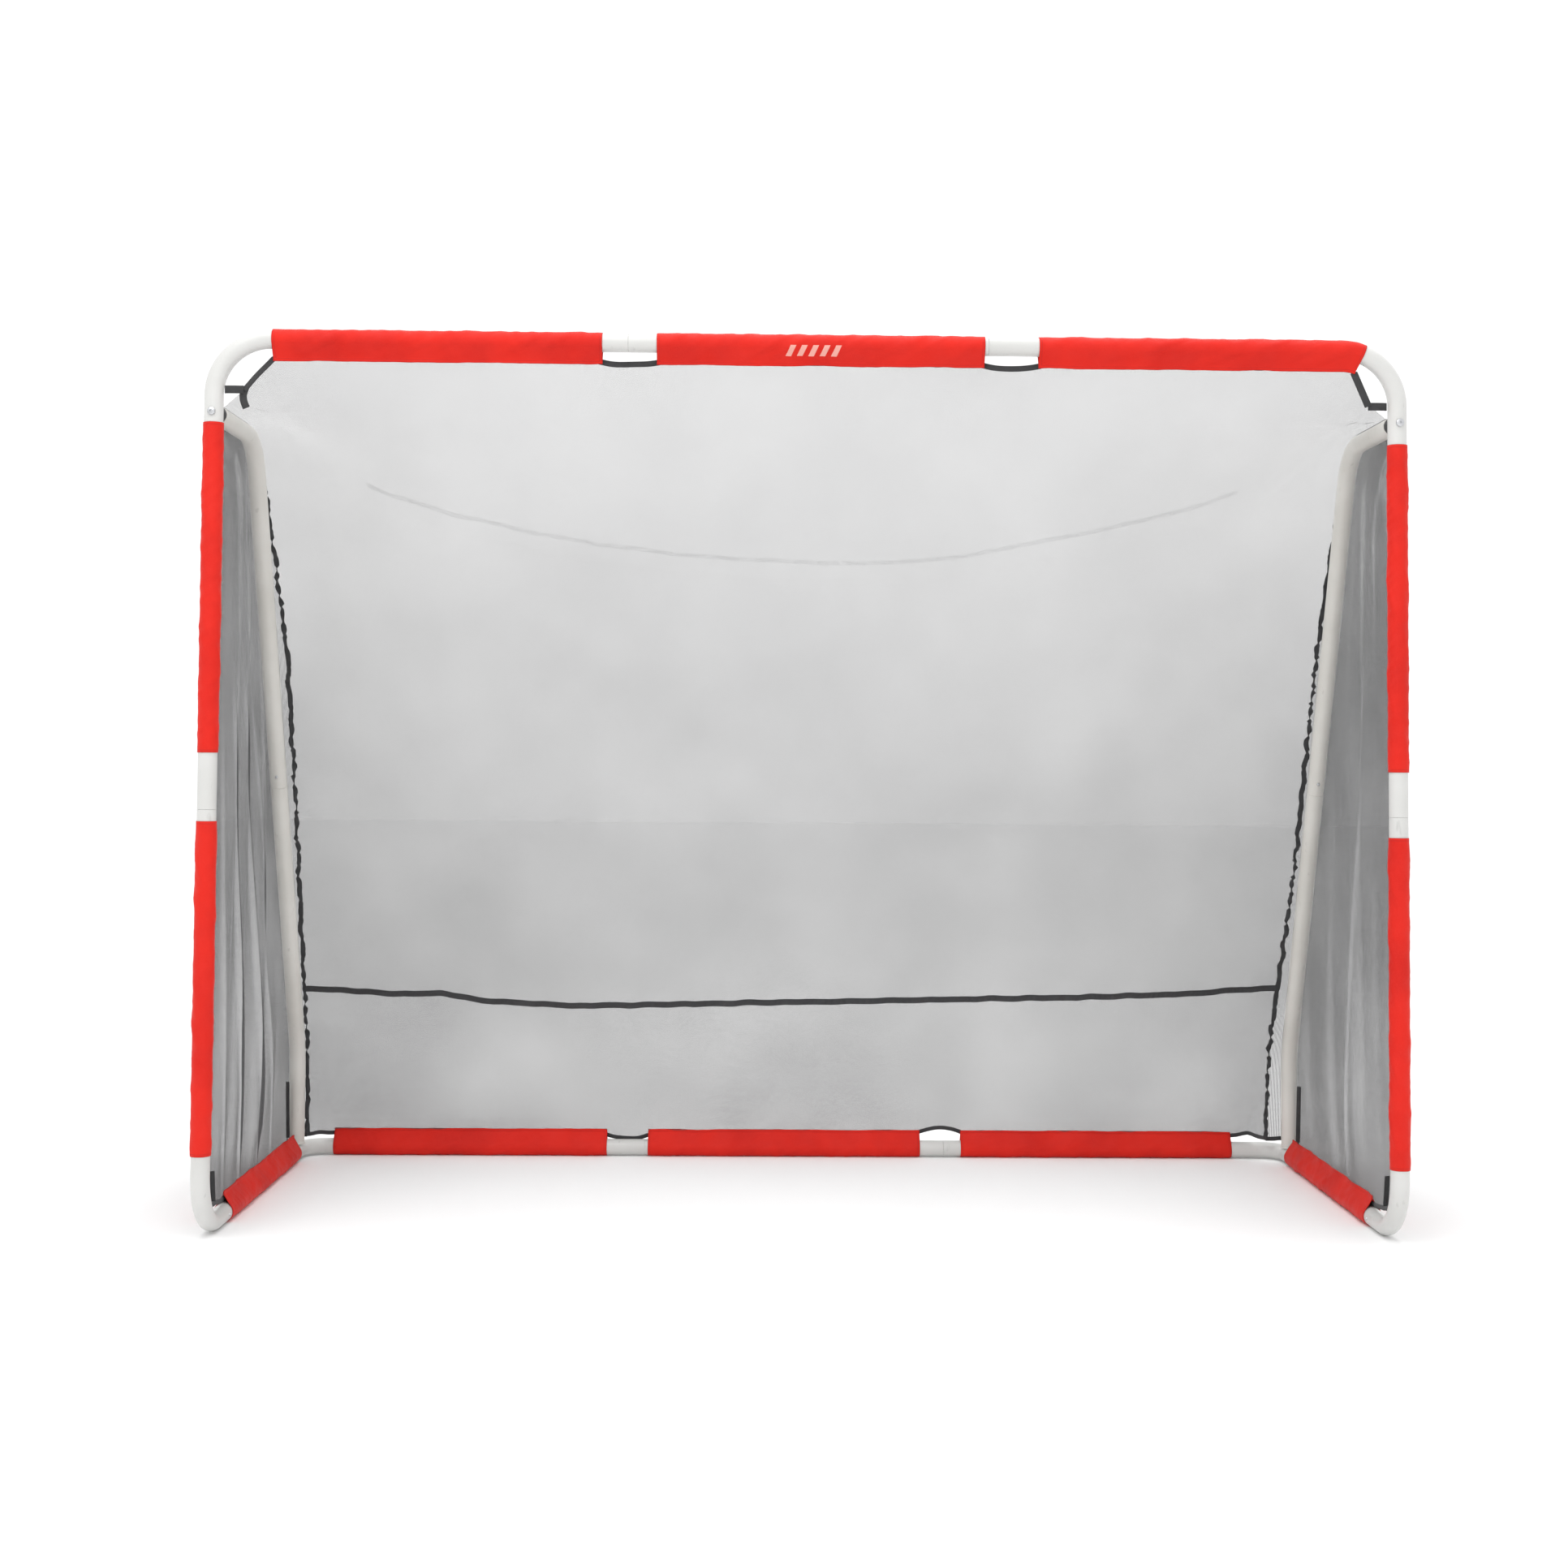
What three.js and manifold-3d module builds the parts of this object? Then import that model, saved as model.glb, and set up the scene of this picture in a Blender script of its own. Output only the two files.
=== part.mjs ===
// Knock-down soccer goal: a steel tube frame, red wrap-round sleeves and a sewn three-panel net.
// Millimetres. +X runs along the crossbar, +Y from the mouth to the back, +Z is up.
// The origin is on the ground, under the middle of the goal's box.
import * as THREE from "three";
import { mergeVertices } from "three/addons/utils/BufferGeometryUtils.js";
import Module from "manifold-3d";

const wasm = await Module();
wasm.setup();

// ---- Driving dimensions -------------------------------------------------------------------

// Overall size over the sleeves
const WIDTH = 2440;
const HEIGHT = 1830;
const DEPTH = 1000;

// Steel tube, by the radius of its flats
const TUBE_RADIUS = 19;
const TUBE_WALL = 1.2;
const TOP_BEND = 114;
const FRONT_BEND = 114;
const REAR_BEND = 60;
const STAY_TOP_BEND = 114;
const STAY_FOOT_BEND = 250;

// Push-together joints: a spigot welded in one tube's end slides in the next tube
const SPIGOT_LENGTH = 60;
const SPIGOT_ROOT = 20;
const SPIGOT_COLLAR = 12;
const CROSSBAR_SEAM = 365;
const UPRIGHT_SEAM_BELOW_MIDDLE = 55;
const SIDE_SEAM = 140;
const REAR_SEAM = 365;
const STAY_SEAM = 900;

// Snap buttons and their leaf springs
const BUTTON_RADIUS = 3.5;
const BUTTON_PROUD = 3;
const BUTTON_CHAMFER = 0.8;
const FLANGE_RADIUS = 5;
const FLANGE_THICKNESS = 1.5;
const FLANGE_DEPTH = 1.4;
const SPRING_WIDTH = 8;
const SPRING_THICKNESS = 0.8;
const SPRING_REACH = 33;
const SPRING_PAD = 8;

// Stays: from a bolt behind the upright, back, down a slope, and onto a stub on the side bar
const STAY_BELOW_BEND = 35.7;
const STAY_KNEE = 345;
const STAY_FOOT_BEFORE_BEND = 13.4;
const STAY_ANKLE = 260;
const STUB_HEIGHT = 60;
const SADDLE_THICKNESS = 12;
const SADDLE_INSET = 2;
const BOLT_RADIUS = 4;
const BOLT_HEAD_RADIUS = 8;
const BOLT_HEAD_HEIGHT = 5;
const INSERT_LENGTH = 25;

// Sleeves: fabric wrapped round the tube, with both edges closed together as a flap
const SLEEVE_THICKNESS = 1;
const FLAP_LENGTH = 24;
const FLAP_THICKNESS = 2.4;

// Bare tube between a sleeve's end and the seam, bend or stay next to it
const CROSSBAR_BARE = { leftBend: 3.2, leftSeam: [52.5, 57.5], rightSeam: [7.5, 102.5] };
const REAR_BARE = { leftBend: 17.2, leftSeam: [92.5, 7.5], rightSeam: [57.5, 42.5], rightBend: 67.2 };
const UPRIGHT_BARE = {
  left: { bend: 37.7, seam: [23, 114], stay: 2 },
  right: { bend: 19.7, seam: [41, 91], stay: 25 },
};
const SIDE_BARE = { seam: 50, stay: 12 };
const SLEEVE_BEND_STEPS = 2;

// Net
const NET_THICKNESS = 1.5;
const NET_OFF_STAY = 3.2;
const NET_SEAM_INSET = 20;
const NET_SEAM_SWAY = 18;
const NET_SEAM_GAP = 0.9;
const NET_CORNER_INSET = 60.7;
const NET_HEM_BEFORE_BEND = 4.3;
const NET_CORNER_ABOVE_BEND = 11.3;
const NET_CREASE_BACK = 235;
const NET_CREASE_DROP = 450;
const NET_START_BACK = 70;
const NET_COLUMNS = 14;
const NET_FRONT_BELOW_STAY = 100;
const NET_CORNER_OFF_BEND = 12.3;
const NET_CORNER_ANGLE = THREE.MathUtils.degToRad(51);
const NET_CUT_BELOW_BEND = 4.3;
const NET_WRAP_STEPS = 4;
const STRAP_WIDTH = 12;
const STRAP_THICKNESS = 2.5;

// Fits and facets
const GAP = 0.3;
const HOLE_CLEARANCE = 0.35;
const SIDES = 12;
const BEND_STEP = Math.PI / 16;
const HALF_FACET = Math.PI / SIDES;

// ---- Derived dimensions -------------------------------------------------------------------

const BORE = TUBE_RADIUS - TUBE_WALL;
const SPIGOT_RADIUS = BORE - GAP;
const SPIGOT_BORE = SPIGOT_RADIUS - TUBE_WALL;
const SLEEVE_BORE = TUBE_RADIUS + GAP;
const SLEEVE_RADIUS = SLEEVE_BORE + SLEEVE_THICKNESS;
const FLAP_REACH = SLEEVE_RADIUS + FLAP_LENGTH;

const POST_X = WIDTH / 2 - SLEEVE_RADIUS;
const TOP_Z = HEIGHT - SLEEVE_RADIUS;
const BAR_Z = SLEEVE_RADIUS;
const REAR_Y = DEPTH - 2 * SLEEVE_RADIUS;
const TOP_BEND_X = POST_X - TOP_BEND;
const REAR_BEND_X = POST_X - REAR_BEND;
const FRONT_BEND_Z = BAR_Z + FRONT_BEND;
const NET_CORNER_Z = TOP_Z - TOP_BEND + NET_CORNER_ABOVE_BEND;
const UPRIGHT_SEAM = (TOP_Z + BAR_Z) / 2 - UPRIGHT_SEAM_BELOW_MIDDLE;
const STAY_HEIGHT = TOP_Z - TOP_BEND - STAY_BELOW_BEND;
const FOOT_Y = REAR_Y - REAR_BEND - STAY_FOOT_BEFORE_BEND;
const STAY_START = TUBE_RADIUS + SADDLE_THICKNESS;
const FOOT_Z = BAR_Z + TUBE_RADIUS + GAP;
const NET_STANDOFF = TUBE_RADIUS + NET_OFF_STAY;
const NET_BOTTOM = BAR_Z + FLAP_REACH + GAP + NET_THICKNESS / 2;
const NET_TOP = TOP_Z - FLAP_REACH - GAP - NET_THICKNESS / 2;

const X_AXIS = new THREE.Vector3(1, 0, 0);
const Y_AXIS = new THREE.Vector3(0, 1, 0);
const Z_AXIS = new THREE.Vector3(0, 0, 1);

const at = (x, y, z) => new THREE.Vector3(x, y, z);

// ---- Materials ----------------------------------------------------------------------------

const paintedSteel = { color: 0xe4e3dc, roughness: 0.38, metalness: 0.1 };
const redFabric = { color: 0xdb3327, roughness: 0.8, metalness: 0 };
const netFabric = { color: 0x3a3b3d, roughness: 0.9, metalness: 0 };
const webbing = { color: 0x1c1d1f, roughness: 0.85, metalness: 0 };
const zinc = { color: 0xb9bcbf, roughness: 0.35, metalness: 0.9 };
const springSteel = { color: 0x8f949a, roughness: 0.4, metalness: 0.9 };
const blackPlastic = { color: 0x202123, roughness: 0.5, metalness: 0 };

const goal = new THREE.Group();

function addPiece(name, geometry, finish) {
  const mesh = new THREE.Mesh(geometry, new THREE.MeshStandardMaterial(finish));
  mesh.name = name;
  goal.add(mesh);
}

// ---- Solid helpers ------------------------------------------------------------------------

// A closed three.js geometry as a solid that can be joined and cut.
function toSolid(geometry) {
  const bare = geometry.index ? geometry.toNonIndexed() : geometry.clone();
  bare.deleteAttribute("normal");
  bare.deleteAttribute("uv");
  const merged = mergeVertices(bare, 1e-4);
  return new wasm.Manifold(
    new wasm.Mesh({
      numProp: 3,
      vertProperties: new Float32Array(merged.attributes.position.array),
      triVerts: new Uint32Array(merged.index.array),
    }),
  );
}

function toGeometry(solid) {
  const mesh = solid.getMesh();
  const geometry = new THREE.BufferGeometry();
  geometry.setAttribute("position", new THREE.BufferAttribute(mesh.vertProperties, 3));
  geometry.setIndex(new THREE.BufferAttribute(mesh.triVerts, 1));
  const faceted = geometry.toNonIndexed();
  faceted.computeVertexNormals();
  return faceted;
}

// Corners of a round section whose flats lie at the given radius, one flat square to each axis.
function roundSection(radius) {
  const corner = radius / Math.cos(HALF_FACET);
  return Array.from({ length: SIDES }, (_, i) => {
    const angle = (2 * i + 1) * HALF_FACET;
    return new THREE.Vector2(corner * Math.cos(angle), corner * Math.sin(angle));
  });
}

function ringShape(outline, bore) {
  const shape = new THREE.Shape(outline);
  shape.holes.push(new THREE.Path(roundSection(bore)));
  return shape;
}

// A lathe of [radius, height] points, turned so that its axis leaves `origin` along `direction`.
function turned(profile, origin, direction) {
  const points = profile.map(([r, h]) => new THREE.Vector2(r / Math.cos(HALF_FACET), h));
  const geometry = new THREE.LatheGeometry(points, SIDES, HALF_FACET);
  geometry.applyQuaternion(new THREE.Quaternion().setFromUnitVectors(Y_AXIS, direction));
  return geometry.translate(origin.x, origin.y, origin.z);
}

function rod(radius, origin, direction, from, to) {
  const profile = [[0, from], [radius, from], [radius, to], [0, to]];
  return toSolid(turned(profile, origin, direction));
}

// ---- Routes: straight runs and round bends in one plane, sampled only where they turn -----

class Route extends THREE.Curve {
  constructor(stations) {
    super();
    this.stations = stations;
  }

  get steps() {
    return this.stations.length - 1;
  }

  getUtoTmapping(u) {
    return u;
  }

  getPoint(t, target = new THREE.Vector3()) {
    return target.copy(this.stations[Math.round(t * this.steps)].point);
  }

  getTangent(t, target = new THREE.Vector3()) {
    return target.copy(this.stations[Math.round(t * this.steps)].tangent);
  }
}

function stationsThrough(corners, radii) {
  const heading = (i) => corners[i + 1].clone().sub(corners[i]).normalize();
  const stations = [{ point: corners[0], tangent: heading(0) }];
  radii.forEach((radius, i) => {
    const into = heading(i);
    const out = heading(i + 1);
    const turn = into.angleTo(out);
    const axis = into.clone().cross(out).normalize();
    const entry = corners[i + 1].clone().addScaledVector(into, -radius * Math.tan(turn / 2));
    const centre = entry.clone().addScaledVector(axis.clone().cross(into), radius);
    const steps = Math.round(turn / BEND_STEP);
    for (let k = 0; k <= steps; k++) {
      const angle = (turn * k) / steps;
      const arm = entry.clone().sub(centre).applyAxisAngle(axis, angle);
      stations.push({
        point: centre.clone().add(arm),
        tangent: into.clone().applyAxisAngle(axis, angle),
      });
    }
  });
  stations.push({ point: corners.at(-1), tangent: heading(corners.length - 2) });
  return stations;
}

function sweep(shape, stations) {
  const route = new Route(stations);
  return new THREE.ExtrudeGeometry(shape, { steps: route.steps, extrudePath: route });
}

const tubeAlong = (stations) =>
  toSolid(sweep(ringShape(roundSection(TUBE_RADIUS), BORE), stations));

// ---- Push-together joints -----------------------------------------------------------------

// The spigot welded inside a tube's end at `seam`, standing out along `direction`.
function spigotAt(seam, direction) {
  return toSolid(
    turned(
      [
        [SPIGOT_BORE, -SPIGOT_ROOT],
        [BORE + TUBE_WALL / 2, -SPIGOT_ROOT],
        [BORE + TUBE_WALL / 2, SPIGOT_COLLAR - SPIGOT_ROOT],
        [SPIGOT_RADIUS, SPIGOT_COLLAR - SPIGOT_ROOT],
        [SPIGOT_RADIUS, SPIGOT_LENGTH],
        [SPIGOT_BORE, SPIGOT_LENGTH],
        [SPIGOT_BORE, -SPIGOT_ROOT],
      ],
      seam,
      direction,
    ),
  );
}

// A joint's numbers: the seam, the way its spigot points, and the way its button faces.
const joint = (name, seam, direction, facing) => ({ name, seam, direction, facing });

const buttonCentre = (j) => j.seam.clone().addScaledVector(j.direction, SPIGOT_LENGTH / 2);

const buttonHole = (j) =>
  rod(BUTTON_RADIUS + HOLE_CLEARANCE, buttonCentre(j), j.facing, SPIGOT_BORE / 2, TUBE_RADIUS + BUTTON_PROUD);

const withSpigot = (tube, j) => tube.add(spigotAt(j.seam, j.direction)).subtract(buttonHole(j));

const mouthOf = (j) => j.seam.clone().addScaledVector(j.direction, GAP);

const FLANGE_TOP = SPIGOT_BORE - FLANGE_DEPTH;
const FLANGE_BOTTOM = FLANGE_TOP - FLANGE_THICKNESS;

function addButton(j) {
  const top = TUBE_RADIUS + BUTTON_PROUD;
  const profile = [
    [0, FLANGE_BOTTOM],
    [FLANGE_RADIUS, FLANGE_BOTTOM],
    [FLANGE_RADIUS, FLANGE_TOP],
    [BUTTON_RADIUS, FLANGE_TOP],
    [BUTTON_RADIUS, top - BUTTON_CHAMFER],
    [BUTTON_RADIUS - BUTTON_CHAMFER, top],
    [0, top],
  ];
  addPiece(`button_${j.name}`, turned(profile, buttonCentre(j), j.facing), zinc);
}

// Outline of a strip of even thickness that follows a line of [u, v] points.
function stripOutline(line, thickness) {
  const points = line.map(([u, v]) => new THREE.Vector2(u, v));
  const sideOf = (i) => {
    const before = points[i].clone().sub(points[Math.max(i - 1, 0)]).normalize();
    const after = points[Math.min(i + 1, points.length - 1)].clone().sub(points[i]).normalize();
    const along = before.add(after).normalize();
    return new THREE.Vector2(-along.y, along.x).multiplyScalar(thickness / 2);
  };
  const left = points.map((p, i) => p.clone().add(sideOf(i)));
  const right = points.map((p, i) => p.clone().sub(sideOf(i)));
  return new THREE.Shape([...right, ...left.reverse()]);
}

// A V of spring strip inside the spigot: one leg under the button, one on the far wall.
function addSpring(j) {
  const near = FLANGE_BOTTOM - GAP - SPRING_THICKNESS / 2;
  const far = -(SPIGOT_BORE - GAP - SPRING_THICKNESS / 2);
  const nose = SPRING_THICKNESS * 2;
  const line = [
    [SPRING_PAD, near],
    [-SPRING_PAD, near],
    [-SPRING_REACH + nose, nose],
    [-SPRING_REACH, 0],
    [-SPRING_REACH + nose, -nose],
    [-SPRING_PAD, far],
    [SPRING_PAD, far],
  ];
  const geometry = new THREE.ExtrudeGeometry(stripOutline(line, SPRING_THICKNESS), {
    depth: SPRING_WIDTH,
    bevelEnabled: false,
  });
  geometry.translate(0, 0, -SPRING_WIDTH / 2);
  const across = j.direction.clone().cross(j.facing);
  const place = new THREE.Matrix4().makeBasis(j.direction, j.facing, across);
  place.setPosition(buttonCentre(j));
  addPiece(`spring_${j.name}`, geometry.applyMatrix4(place), springSteel);
}

// ---- Frame tubes --------------------------------------------------------------------------

const SIDE_NAMES = [["left", -1], ["right", 1]];
const joints = [];

function addMiddleBar(name, seamX, y, z, facing) {
  const stations = stationsThrough([at(-seamX, y, z), at(seamX, y, z)], []);
  let bar = tubeAlong(stations);
  const ends = SIDE_NAMES.map(([side, sign]) =>
    joint(`${name}_${side}`, at(sign * seamX, y, z), at(sign, 0, 0), facing),
  );
  ends.forEach((j) => {
    bar = withSpigot(bar, j);
    joints.push(j);
  });
  addPiece(`${name}_center_tube`, toGeometry(bar), paintedSteel);
  return ends;
}

// Where the stay runs, in the plane of one upright: from its bolt to its foot.
const stayCorners = (x) => [
  at(x, STAY_START, STAY_HEIGHT),
  at(x, STAY_KNEE, STAY_HEIGHT),
  at(x, FOOT_Y, STAY_ANKLE),
  at(x, FOOT_Y, FOOT_Z),
];

function addUprightSide(side, sign, crossbarJoint, rearJoint) {
  const x = sign * POST_X;
  const uprightJoint = joint(`upright_${side}`, at(x, 0, UPRIGHT_SEAM), Z_AXIS, Y_AXIS);
  const sideJoint = joint(`side_bar_${side}`, at(x, SIDE_SEAM, BAR_Z), Y_AXIS, at(-sign, 0, 0));

  const corner = stationsThrough(
    [mouthOf(crossbarJoint), at(x, 0, TOP_Z), mouthOf(uprightJoint)],
    [TOP_BEND],
  );
  const boltHole = rod(
    BOLT_RADIUS + HOLE_CLEARANCE, at(x, 0, STAY_HEIGHT), Y_AXIS, -STAY_START, STAY_START,
  );
  const topTube = tubeAlong(corner)
    .subtract(buttonHole(crossbarJoint))
    .subtract(buttonHole(uprightJoint))
    .subtract(boltHole);
  addPiece(`top_corner_tube_${side}`, toGeometry(topTube), paintedSteel);

  const lower = stationsThrough([uprightJoint.seam, at(x, 0, BAR_Z), sideJoint.seam], [FRONT_BEND]);
  const lowerTube = withSpigot(withSpigot(tubeAlong(lower), uprightJoint), sideJoint);
  addPiece(`lower_corner_tube_${side}`, toGeometry(lowerTube), paintedSteel);

  const rear = stationsThrough([mouthOf(sideJoint), at(x, REAR_Y, BAR_Z), mouthOf(rearJoint)], [REAR_BEND]);
  const rearTube = tubeAlong(rear)
    .add(stubOn(x))
    .subtract(buttonHole(sideJoint))
    .subtract(buttonHole(rearJoint));
  addPiece(`rear_corner_tube_${side}`, toGeometry(rearTube), paintedSteel);

  addStay(side, x);
  joints.push(uprightJoint, sideJoint);
  return corner;
}

// The stub welded on the side bar that the stay's foot slips over.
function stubOn(x) {
  const foot = at(x, FOOT_Y, BAR_Z);
  const top = TUBE_RADIUS + STUB_HEIGHT;
  const stub = toSolid(
    turned(
      [[SPIGOT_BORE, 0], [SPIGOT_RADIUS, 0], [SPIGOT_RADIUS, top], [SPIGOT_BORE, top], [SPIGOT_BORE, 0]],
      foot,
      Z_AXIS,
    ),
  );
  const cope = rod(BORE + TUBE_WALL / 2, foot, Y_AXIS, -TUBE_RADIUS, TUBE_RADIUS);
  return stub.subtract(cope);
}

function addStay(side, x) {
  const [top, knee, ankle, foot] = stayCorners(x);
  const slope = ankle.clone().sub(knee).normalize();
  const seam = knee.clone().lerp(ankle, (STAY_HEIGHT - STAY_SEAM) / (STAY_HEIGHT - STAY_ANKLE));
  const facing = slope.clone().cross(X_AXIS).normalize();
  if (facing.y > 0) facing.negate();
  const stayJoint = joint(`stay_${side}`, seam, slope.clone().negate(), facing);
  joints.push(stayJoint);

  const upper = tubeAlong(stationsThrough([top, knee, mouthOf(stayJoint)], [STAY_TOP_BEND]));
  addPiece(`upper_stay_${side}`, toGeometry(upper.subtract(buttonHole(stayJoint))), paintedSteel);
  const lower = tubeAlong(stationsThrough([seam, ankle, foot], [STAY_FOOT_BEND]));
  addPiece(`lower_stay_${side}`, toGeometry(withSpigot(lower, stayJoint)), paintedSteel);

  addStayBolt(side, at(x, 0, STAY_HEIGHT));
}

// The bolt through the upright, the saddle that it clamps, and the threaded insert in the stay.
function addStayBolt(side, centre) {
  const hole = BOLT_RADIUS + HOLE_CLEARANCE;
  const insertEnd = STAY_START + INSERT_LENGTH;
  const headFace = -(TUBE_RADIUS + GAP);
  const headTop = headFace - BOLT_HEAD_HEIGHT;
  const bolt = [
    [0, headTop],
    [BOLT_HEAD_RADIUS - BOLT_HEAD_HEIGHT / 2, headTop],
    [BOLT_HEAD_RADIUS, headTop + BOLT_HEAD_HEIGHT / 2],
    [BOLT_HEAD_RADIUS, headFace],
    [BOLT_RADIUS, headFace],
    [BOLT_RADIUS, insertEnd],
    [0, insertEnd],
  ];
  addPiece(`stay_bolt_${side}`, turned(bolt, centre, Y_AXIS), zinc);

  const insert = [
    [hole, STAY_START],
    [SPIGOT_RADIUS, STAY_START],
    [SPIGOT_RADIUS, insertEnd],
    [hole, insertEnd],
    [hole, STAY_START],
  ];
  addPiece(`stay_insert_${side}`, turned(insert, centre, Y_AXIS), zinc);

  const saddle = rod(TUBE_RADIUS - SADDLE_INSET, centre, Y_AXIS, TUBE_WALL, STAY_START - GAP)
    .subtract(rod(TUBE_RADIUS + GAP, centre, Z_AXIS, -STAY_START, STAY_START))
    .subtract(rod(hole, centre, Y_AXIS, 0, STAY_START));
  addPiece(`stay_saddle_${side}`, toGeometry(saddle), blackPlastic);
}

const crossbarJoints = addMiddleBar("crossbar", CROSSBAR_SEAM, 0, TOP_Z, Y_AXIS);
const rearJoints = addMiddleBar("rear_bar", REAR_SEAM, REAR_Y, BAR_Z, Y_AXIS);
const topCorners = SIDE_NAMES.map(([side, sign], i) =>
  addUprightSide(side, sign, crossbarJoints[i], rearJoints[i]),
);
joints.forEach((j) => {
  addButton(j);
  addSpring(j);
});

// ---- Sleeves ------------------------------------------------------------------------------

// The sleeve's section, with its flap along the section's +X or -X.
function sleeveShape(flapSide) {
  const half = FLAP_THICKNESS / 2;
  const flap = [
    new THREE.Vector2(SLEEVE_RADIUS, -half),
    new THREE.Vector2(FLAP_REACH, -half),
    new THREE.Vector2(FLAP_REACH, half),
    new THREE.Vector2(SLEEVE_RADIUS, half),
  ];
  const outline = [...roundSection(SLEEVE_RADIUS), ...flap].map((p) => p.multiplyScalar(flapSide));
  return ringShape(outline, SLEEVE_BORE);
}

// A swept section's +X side faces down on a run along X or Y, and to the front on a run up Z.
const FLAP_DOWN = 1;
const FLAP_UP = -1;
const FLAP_BACK = -1;

function addSleeve(name, start, end, flapSide) {
  addPiece(`sleeve_${name}`, sweep(sleeveShape(flapSide), stationsThrough([start, end], [])), redFabric);
}

// The right-hand crossbar sleeve runs on into the corner's bend.
function addBentSleeve(name, startX, corner) {
  const start = { point: at(startX, 0, TOP_Z), tangent: X_AXIS };
  const bend = corner.slice(1, SLEEVE_BEND_STEPS + 2);
  addPiece(`sleeve_${name}`, sweep(sleeveShape(FLAP_DOWN), [start, ...bend]), redFabric);
}

const onCrossbar = (x) => at(x, 0, TOP_Z);
const onRearBar = (x) => at(x, REAR_Y, BAR_Z);

function addCrossbarSleeves() {
  const { leftBend, leftSeam, rightSeam } = CROSSBAR_BARE;
  const seam = CROSSBAR_SEAM;
  addSleeve("crossbar_left", onCrossbar(leftBend - TOP_BEND_X), onCrossbar(-seam - leftSeam[0]), FLAP_DOWN);
  addSleeve("crossbar_center", onCrossbar(leftSeam[1] - seam), onCrossbar(seam - rightSeam[0]), FLAP_DOWN);
  addBentSleeve("crossbar_right", seam + rightSeam[1], topCorners[1]);
}

function addRearSleeves() {
  const { leftBend, leftSeam, rightSeam, rightBend } = REAR_BARE;
  const seam = REAR_SEAM;
  addSleeve("rear_bar_left", onRearBar(leftBend - REAR_BEND_X), onRearBar(-seam - leftSeam[0]), FLAP_UP);
  addSleeve("rear_bar_center", onRearBar(leftSeam[1] - seam), onRearBar(seam - rightSeam[0]), FLAP_UP);
  addSleeve("rear_bar_right", onRearBar(seam + rightSeam[1]), onRearBar(REAR_BEND_X - rightBend), FLAP_UP);
}

function addSideSleeves(side, sign) {
  const x = sign * POST_X;
  const bare = UPRIGHT_BARE[side];
  const lower = [FRONT_BEND_Z + bare.bend, UPRIGHT_SEAM - bare.seam[0]];
  const upper = [UPRIGHT_SEAM + bare.seam[1], STAY_HEIGHT - TUBE_RADIUS - bare.stay];
  addSleeve(`upright_${side}_lower`, at(x, 0, lower[0]), at(x, 0, lower[1]), FLAP_BACK);
  addSleeve(`upright_${side}_upper`, at(x, 0, upper[0]), at(x, 0, upper[1]), FLAP_BACK);
  const ground = [SIDE_SEAM + SIDE_BARE.seam, FOOT_Y - TUBE_RADIUS - SIDE_BARE.stay];
  addSleeve(`side_bar_${side}`, at(x, ground[0], BAR_Z), at(x, ground[1], BAR_Z), FLAP_UP);
}

addCrossbarSleeves();
addRearSleeves();
SIDE_NAMES.forEach(([side, sign]) => addSideSleeves(side, sign));

// ---- Net ----------------------------------------------------------------------------------

// The surface's normal at each point of a grid.
function sheetNormals(grid) {
  const lastRow = grid.length - 1;
  const lastColumn = grid[0].length - 1;
  const span = (from, to) => to.clone().sub(from);
  return grid.map((row, j) => row.map((_, i) => {
    const along = span(row[Math.max(i - 1, 0)], row[Math.min(i + 1, lastColumn)]);
    const up = span(grid[Math.max(j - 1, 0)][i], grid[Math.min(j + 1, lastRow)][i]);
    return along.cross(up).normalize();
  }));
}

// A closed thin solid round a grid of points, with the same diagonals on both faces.
function sheetGeometry(grid, normals) {
  const rows = grid.length - 1;
  const columns = grid[0].length - 1;
  const box = new THREE.BoxGeometry(columns, rows, 1, columns, rows, 1);
  const position = box.attributes.position;
  for (let k = 0; k < position.count; k++) {
    const i = Math.round(position.getX(k) + columns / 2);
    const j = Math.round(position.getY(k) + rows / 2);
    const vertex = grid[j][i].clone().addScaledVector(normals[j][i], position.getZ(k) * NET_THICKNESS);
    position.setXYZ(k, vertex.x, vertex.y, vertex.z);
  }
  const index = box.index.array;
  const back = box.groups[5];
  for (let k = back.start; k < back.start + back.count; k += 6) {
    const [a, b, d, , c] = index.slice(k, k + 6);
    index.set([a, b, c, a, c, d], k);
  }
  return box;
}

// The stay's centreline from where the net starts to where it ends, in the plane of an upright,
// with the outward normal at each point and the share of the way down.
function netStations() {
  const [, knee, ankle] = stayCorners(0);
  const end = at(0, FOOT_Y, NET_BOTTOM);
  const start = at(0, NET_START_BACK, STAY_HEIGHT);
  const stations = stationsThrough([start, knee, ankle, end], [STAY_TOP_BEND, STAY_FOOT_BEND]);
  const bendSteps = stations.filter((s) => s.point.z > STAY_SEAM).length - 1;
  const slopeTop = stations[bendSteps];
  const slopeEnd = stations[bendSteps + 1];
  const extra = [0.2, 0.4, 0.6, 0.8].map((share) => ({
    point: slopeTop.point.clone().lerp(slopeEnd.point, share),
    tangent: slopeTop.tangent,
  }));
  stations.splice(bendSteps + 1, 0, ...extra);
  return stations.map(({ point, tangent }, i) => ({
    point,
    normal: X_AXIS.clone().cross(tangent).normalize(),
    share: i / (stations.length - 1),
  }));
}

const stayLine = netStations();
const creaseIndex = stayLine.findIndex((s) => s.point.z < STAY_HEIGHT - STAY_TOP_BEND / 4);

const seamInset = (share) => NET_SEAM_INSET + NET_SEAM_SWAY * Math.sin(Math.PI * share);

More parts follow.
